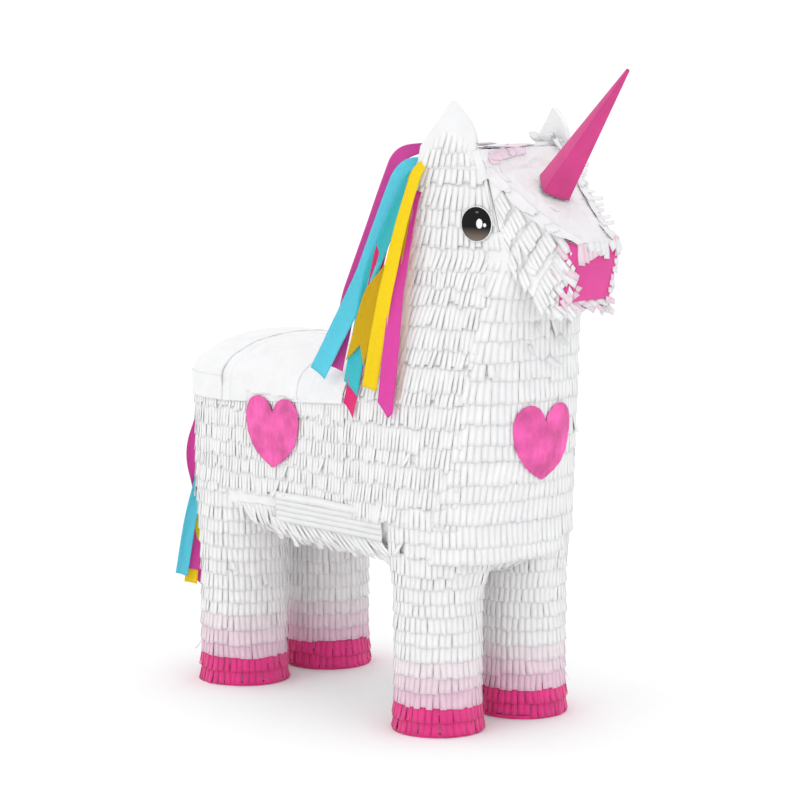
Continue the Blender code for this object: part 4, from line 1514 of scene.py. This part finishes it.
def ribbon(node, body, route, gathered, face, top_width, width, layer, kind, twist,
           finish, slot):
    """A paper ribbon along a route, in the place of its CAD node.

    It is gathered narrow over that share of its length from the knot. face is the way its
    outside looks; layer is how far it lies outside its route, in steps of RIBBON_LAYER.
    """
    steps, across_steps = 80, 8
    seed = Vector((layer * 5.3, width * 900.0, len(node) * 1.3))
    mesh = bpy.data.meshes.new(node + "_paper")
    work = bmesh.new()
    uv_layer = work.loops.layers.uv.new("UVMap")
    grid = {}
    lengths = [0.0]
    before = None
    for step in range(steps + 1):
        v = step / steps
        free = clamp((v - 0.08) / 0.3)
        wide_here = mix(top_width, width, clamp((v - 0.35) / 0.5))
        wide_here *= mix(0.5, 1.0, clamp((v - gathered + 0.08) / 0.12))
        turn = twist * math.sin(math.pi * clamp((v - 0.10) / 0.9))
        for column in range(across_steps + 1):
            across = column / across_steps - 0.5
            at = v * (1.0 - end_cut(kind, across))
            down = (route(at + 0.01) - route(at - 0.01)).normalized()
            wide = down.cross(face).normalized()
            out = wide.cross(down).normalized()
            wide = wide * math.cos(turn) + out * math.sin(turn)
            high = 0.0009 * free * noise.noise(seed + Vector((v * 4.0, 0.0, 0.0)))
            high += 0.0005 * free * noise.noise(seed + Vector((v * 15.0, across * 3, 2)))
            high += 0.0014 * free * across ** 2 * 4.0
            high += 0.0004 + layer * RIBBON_LAYER
            spot = route(at) + wide * across * wide_here + out * high
            grid[column, step] = work.verts.new(spot)
            if column == across_steps // 2:
                centre_spot = spot
        if before is not None:
            lengths.append(lengths[-1] + (centre_spot - before).length)
        before = centre_spot
    for step in range(steps):
        for column in range(across_steps):
            keys = [(column, step), (column, step + 1), (column + 1, step + 1),
                    (column + 1, step)]
            face_made = work.faces.new([grid[key] for key in keys])
            face_made.smooth = True
            for loop, key in zip(face_made.loops, keys):
                loop[uv_layer].uv = (key[0] / across_steps, lengths[key[1]] / width)
    work.to_mesh(mesh)
    work.free()
    mesh.materials.append(finish)
    piece = add_piece(node + "_paper", mesh, body, slot, RIBBON_THICKNESS)
    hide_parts(node)


# Ribbons of the mane and the tail: name, places after the knot, width above and below,
# layer, end cut, twist, finish, slot.
MANE = [
    # A see-through ribbon lying on the neck; its peach tint is a painted reflection of the
    # ribbons beside it.
    ("lilac", [(-0.072, 0.003, 0.455), (-0.079, 0.004, 0.394), (-0.088, 0.014, 0.276)],
     0.008, 0.012, 0, "slant", 0.0, lilac_ribbon_painted_reflection, "ribbon_lilac"),
    ("arch", [(-0.045, 0.0205, 0.4945), (-0.064, 0.0315, 0.4895),
              (-0.085, 0.0720, 0.3681), (-0.090, 0.086, 0.304)],
     0.0155, 0.0145, 0, "square", 0.0, arch_ribbon, "ribbon_pink"),
    ("magenta", [(-0.072, 0.0125, 0.4662), (-0.0835, 0.0325, 0.4123),
                 (-0.0935, 0.066, 0.266)],
     0.010, 0.011, 1, "slant", 0.1, magenta_ribbon, "ribbon_magenta"),
    ("short_blue", [(-0.073, 0.0081, 0.4714), (-0.0865, 0.0415, 0.3909),
                    (-0.0925, 0.063, 0.285)],
     0.010, 0.0145, 2, "slant", 0.1, teal_ribbon, "ribbon_blue"),
    ("orange", [(-0.0725, 0.0035, 0.4740), (-0.0830, 0.0164, 0.397),
                (-0.0880, 0.0385, 0.3715), (-0.0910, 0.057, 0.312)],
     0.008, 0.017, 3, "notch", 0.2, golden_ribbon, "ribbon_yellow"),
    ("pink", [(-0.0722, 0.0038, 0.459), (-0.0872, 0.0108, 0.3731),
              (-0.0945, 0.0180, 0.269)],
     0.0085, 0.0145, 0, "point", 0.1, pink_ribbon, "ribbon_pink"),
    ("yellow", [(-0.0715, 0.0002, 0.4770), (-0.0795, 0.0105, 0.432),
                (-0.0895, 0.0200, 0.3722), (-0.0925, 0.0365, 0.292)],
     0.0095, 0.0135, 4, "square", 0.1, yellow_ribbon, "ribbon_yellow"),
    ("blue", [(-0.0690, 0.0178, 0.4767), (-0.0870, 0.0485, 0.3843),
              (-0.0940, 0.1009, 0.300)],
     0.0190, 0.0165, 4, "square", 0.1, blue_ribbon, "ribbon_blue"),
]
TAIL = [
    ("magenta", [(-0.037, 0.338, 0.180), (-0.050, 0.3385, 0.0885)],
     0.011, 0.014, 0, "square", 0.2, pink_ribbon, "ribbon_magenta"),
    ("yellow", [(-0.042, 0.338, 0.163), (-0.0505, 0.3405, 0.0755)],
     0.010, 0.012, 0.5, "square", 0.2, yellow_ribbon, "ribbon_yellow"),
    ("blue", [(-0.006, 0.340, 0.190), (0.004, 0.344, 0.074)],
     0.014, 0.018, 0.5, "square", 0.2, blue_ribbon, "ribbon_blue"),
    ("rose", [(-0.022, 0.342, 0.180), (-0.044, 0.3375, 0.0715)],
     0.012, 0.012, 1, "slant", 0.2, pink_ribbon, "ribbon_pink"),
    ("pink", [(-0.0510, 0.340, 0.200), (-0.040, 0.338, 0.160), (-0.034, 0.344, 0.080)],
     0.0095, 0.012, 1.5, "slant", 0.2, pink_ribbon, "ribbon_pink"),
    ("teal", [(-0.036, 0.336, 0.190), (-0.0520, 0.3375, 0.140), (-0.0570, 0.3455, 0.084)],
     0.009, 0.0115, 2, "square", 0.1, blue_ribbon, "ribbon_teal"),
]


def ribbons():
    for body, bundle, knots, softness, gathered, face in (
            ("mane", MANE, [MANE_HINGE], 0.03, 0.24, (-0.90, -0.44, 0.10)),
            ("tail", TAIL, [TAIL_HINGE, BELOW_TAIL_KNOT], 0.07, 0.12, (-0.55, -0.60, 0.10))):
        for name, places, *shape in bundle:
            ribbon(body + "_ribbon_" + name, body, ribbon_route(softness, *knots, *places),
                   gathered, Vector(face).normalized(), *shape)
    knot("mane", pink_ribbon, "ribbon_pink")
    knot("tail", teal_ribbon, "ribbon_teal")


def knot(body, finish, slot):
    """A creased overhand knot of ribbon, in the place of its CAD node."""
    node = body + "_knot"
    low, high = [Vector(corner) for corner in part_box(node)]
    centre, size = (low + high) / 2.0, (high - low) / 2.0
    mesh = bpy.data.meshes.new(node + "_paper")
    work = bmesh.new()
    bmesh.ops.create_icosphere(work, subdivisions=5, radius=1.0)
    for vert in work.verts:
        way = vert.co.copy()
        wrap = math.sin(way.x * 9.0 + math.atan2(way.z, way.y) * 2.0)
        reach = 0.86 + 0.10 * abs(wrap) + 0.12 * noise.noise(way * 3.0)
        vert.co = centre + Vector((way.x * size.x, way.y * size.y, way.z * size.z)) * reach
    work.to_mesh(mesh)
    work.free()
    mesh.materials.append(finish)
    mesh.shade_smooth()
    piece = add_piece(node + "_paper", mesh, body, slot)
    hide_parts(node)


# ---------------------------------------------------------------- camera, light, floor
def studio():
    away = Vector((-math.sin(CAMERA_TURN) * math.cos(CAMERA_LIFT),
                   -math.cos(CAMERA_TURN) * math.cos(CAMERA_LIFT), math.sin(CAMERA_LIFT)))
    lens = bpy.data.cameras.new("camera")
    lens.sensor_width = 36.0
    lens.lens = CAMERA_LENS
    camera = add_object("camera", lens)
    camera.location = world(*CAMERA_TARGET) + away * CAMERA_DISTANCE
    camera.rotation_euler = (-away).to_track_quat("-Z", "Y").to_euler()
    bpy.context.scene.camera = camera

    floor = bpy.data.meshes.new("floor")
    work = bmesh.new()
    bmesh.ops.create_grid(work, x_segments=1, y_segments=1, size=60.0)
    work.to_mesh(floor)
    work.free()
    floor.materials.append(shader_nodes("floor_paint", (0.98, 0.98, 0.98), 0.95)[0])
    ground = add_object("floor", floor)
    ground.location.z = -0.0003

    sky = bpy.data.worlds.new("studio")
    sky.use_nodes = True
    background = sky.node_tree.nodes["Background"]
    background.inputs["Color"].default_value = (0.99, 0.995, 1.0, 1.0)
    background.inputs["Strength"].default_value = SKY
    bpy.context.scene.world = sky

    lamp("key", (-2.6, 0.3, 1.9), 1.4, KEY, (1.0, 0.985, 0.96))
    lamp("top", (0.0, 0.2, 3.0), 1.6, TOP, (1.0, 1.0, 1.0))
    lamp("front", (-0.6, -3.0, 1.2), 1.8, FRONT, (0.82, 0.88, 1.0))
    bpy.context.scene.view_settings.view_transform = "Standard"


def lamp(name, place, size, power, colour):
    light = bpy.data.lights.new(name, "AREA")
    light.size = size
    light.energy = power
    light.color = colour
    thing = add_object(name, light)
    thing.location = place
    aim = Vector((0.0, 0.0, 0.25)) - Vector(place)
    thing.rotation_euler = aim.to_track_quat("-Z", "Y").to_euler()


def paint_nodes():
    """Better materials for the CAD nodes that stay in view."""
    finishes = {"white_fringe": white_tissue, "white_tissue": smooth_tissue,
                "bare_card": brown_card, "hoof_pink": hoof_tissue,
                "nose_pink": nose_tissue}
    slots = {part["node"]: part["material_slot"] for part in frame["record"]["subparts"]}
    for name, node in frame["nodes"].items():
        finish = finishes.get(slots.get(name))
        if finish:
            node.data.materials.clear()
            node.data.materials.append(finish)


studio()
paint_nodes()
fringe_neck_sides()
fringe_chest()
fringe_nape()
fringe_barrel()
fold_strips()
fringe_belly()
fringe_legs()
fringe_muzzle()
smooth_parts()
torn_patches()
loose_scraps()
paper_nose()
rolled_horn()
eyes()
hearts()
ribbons()
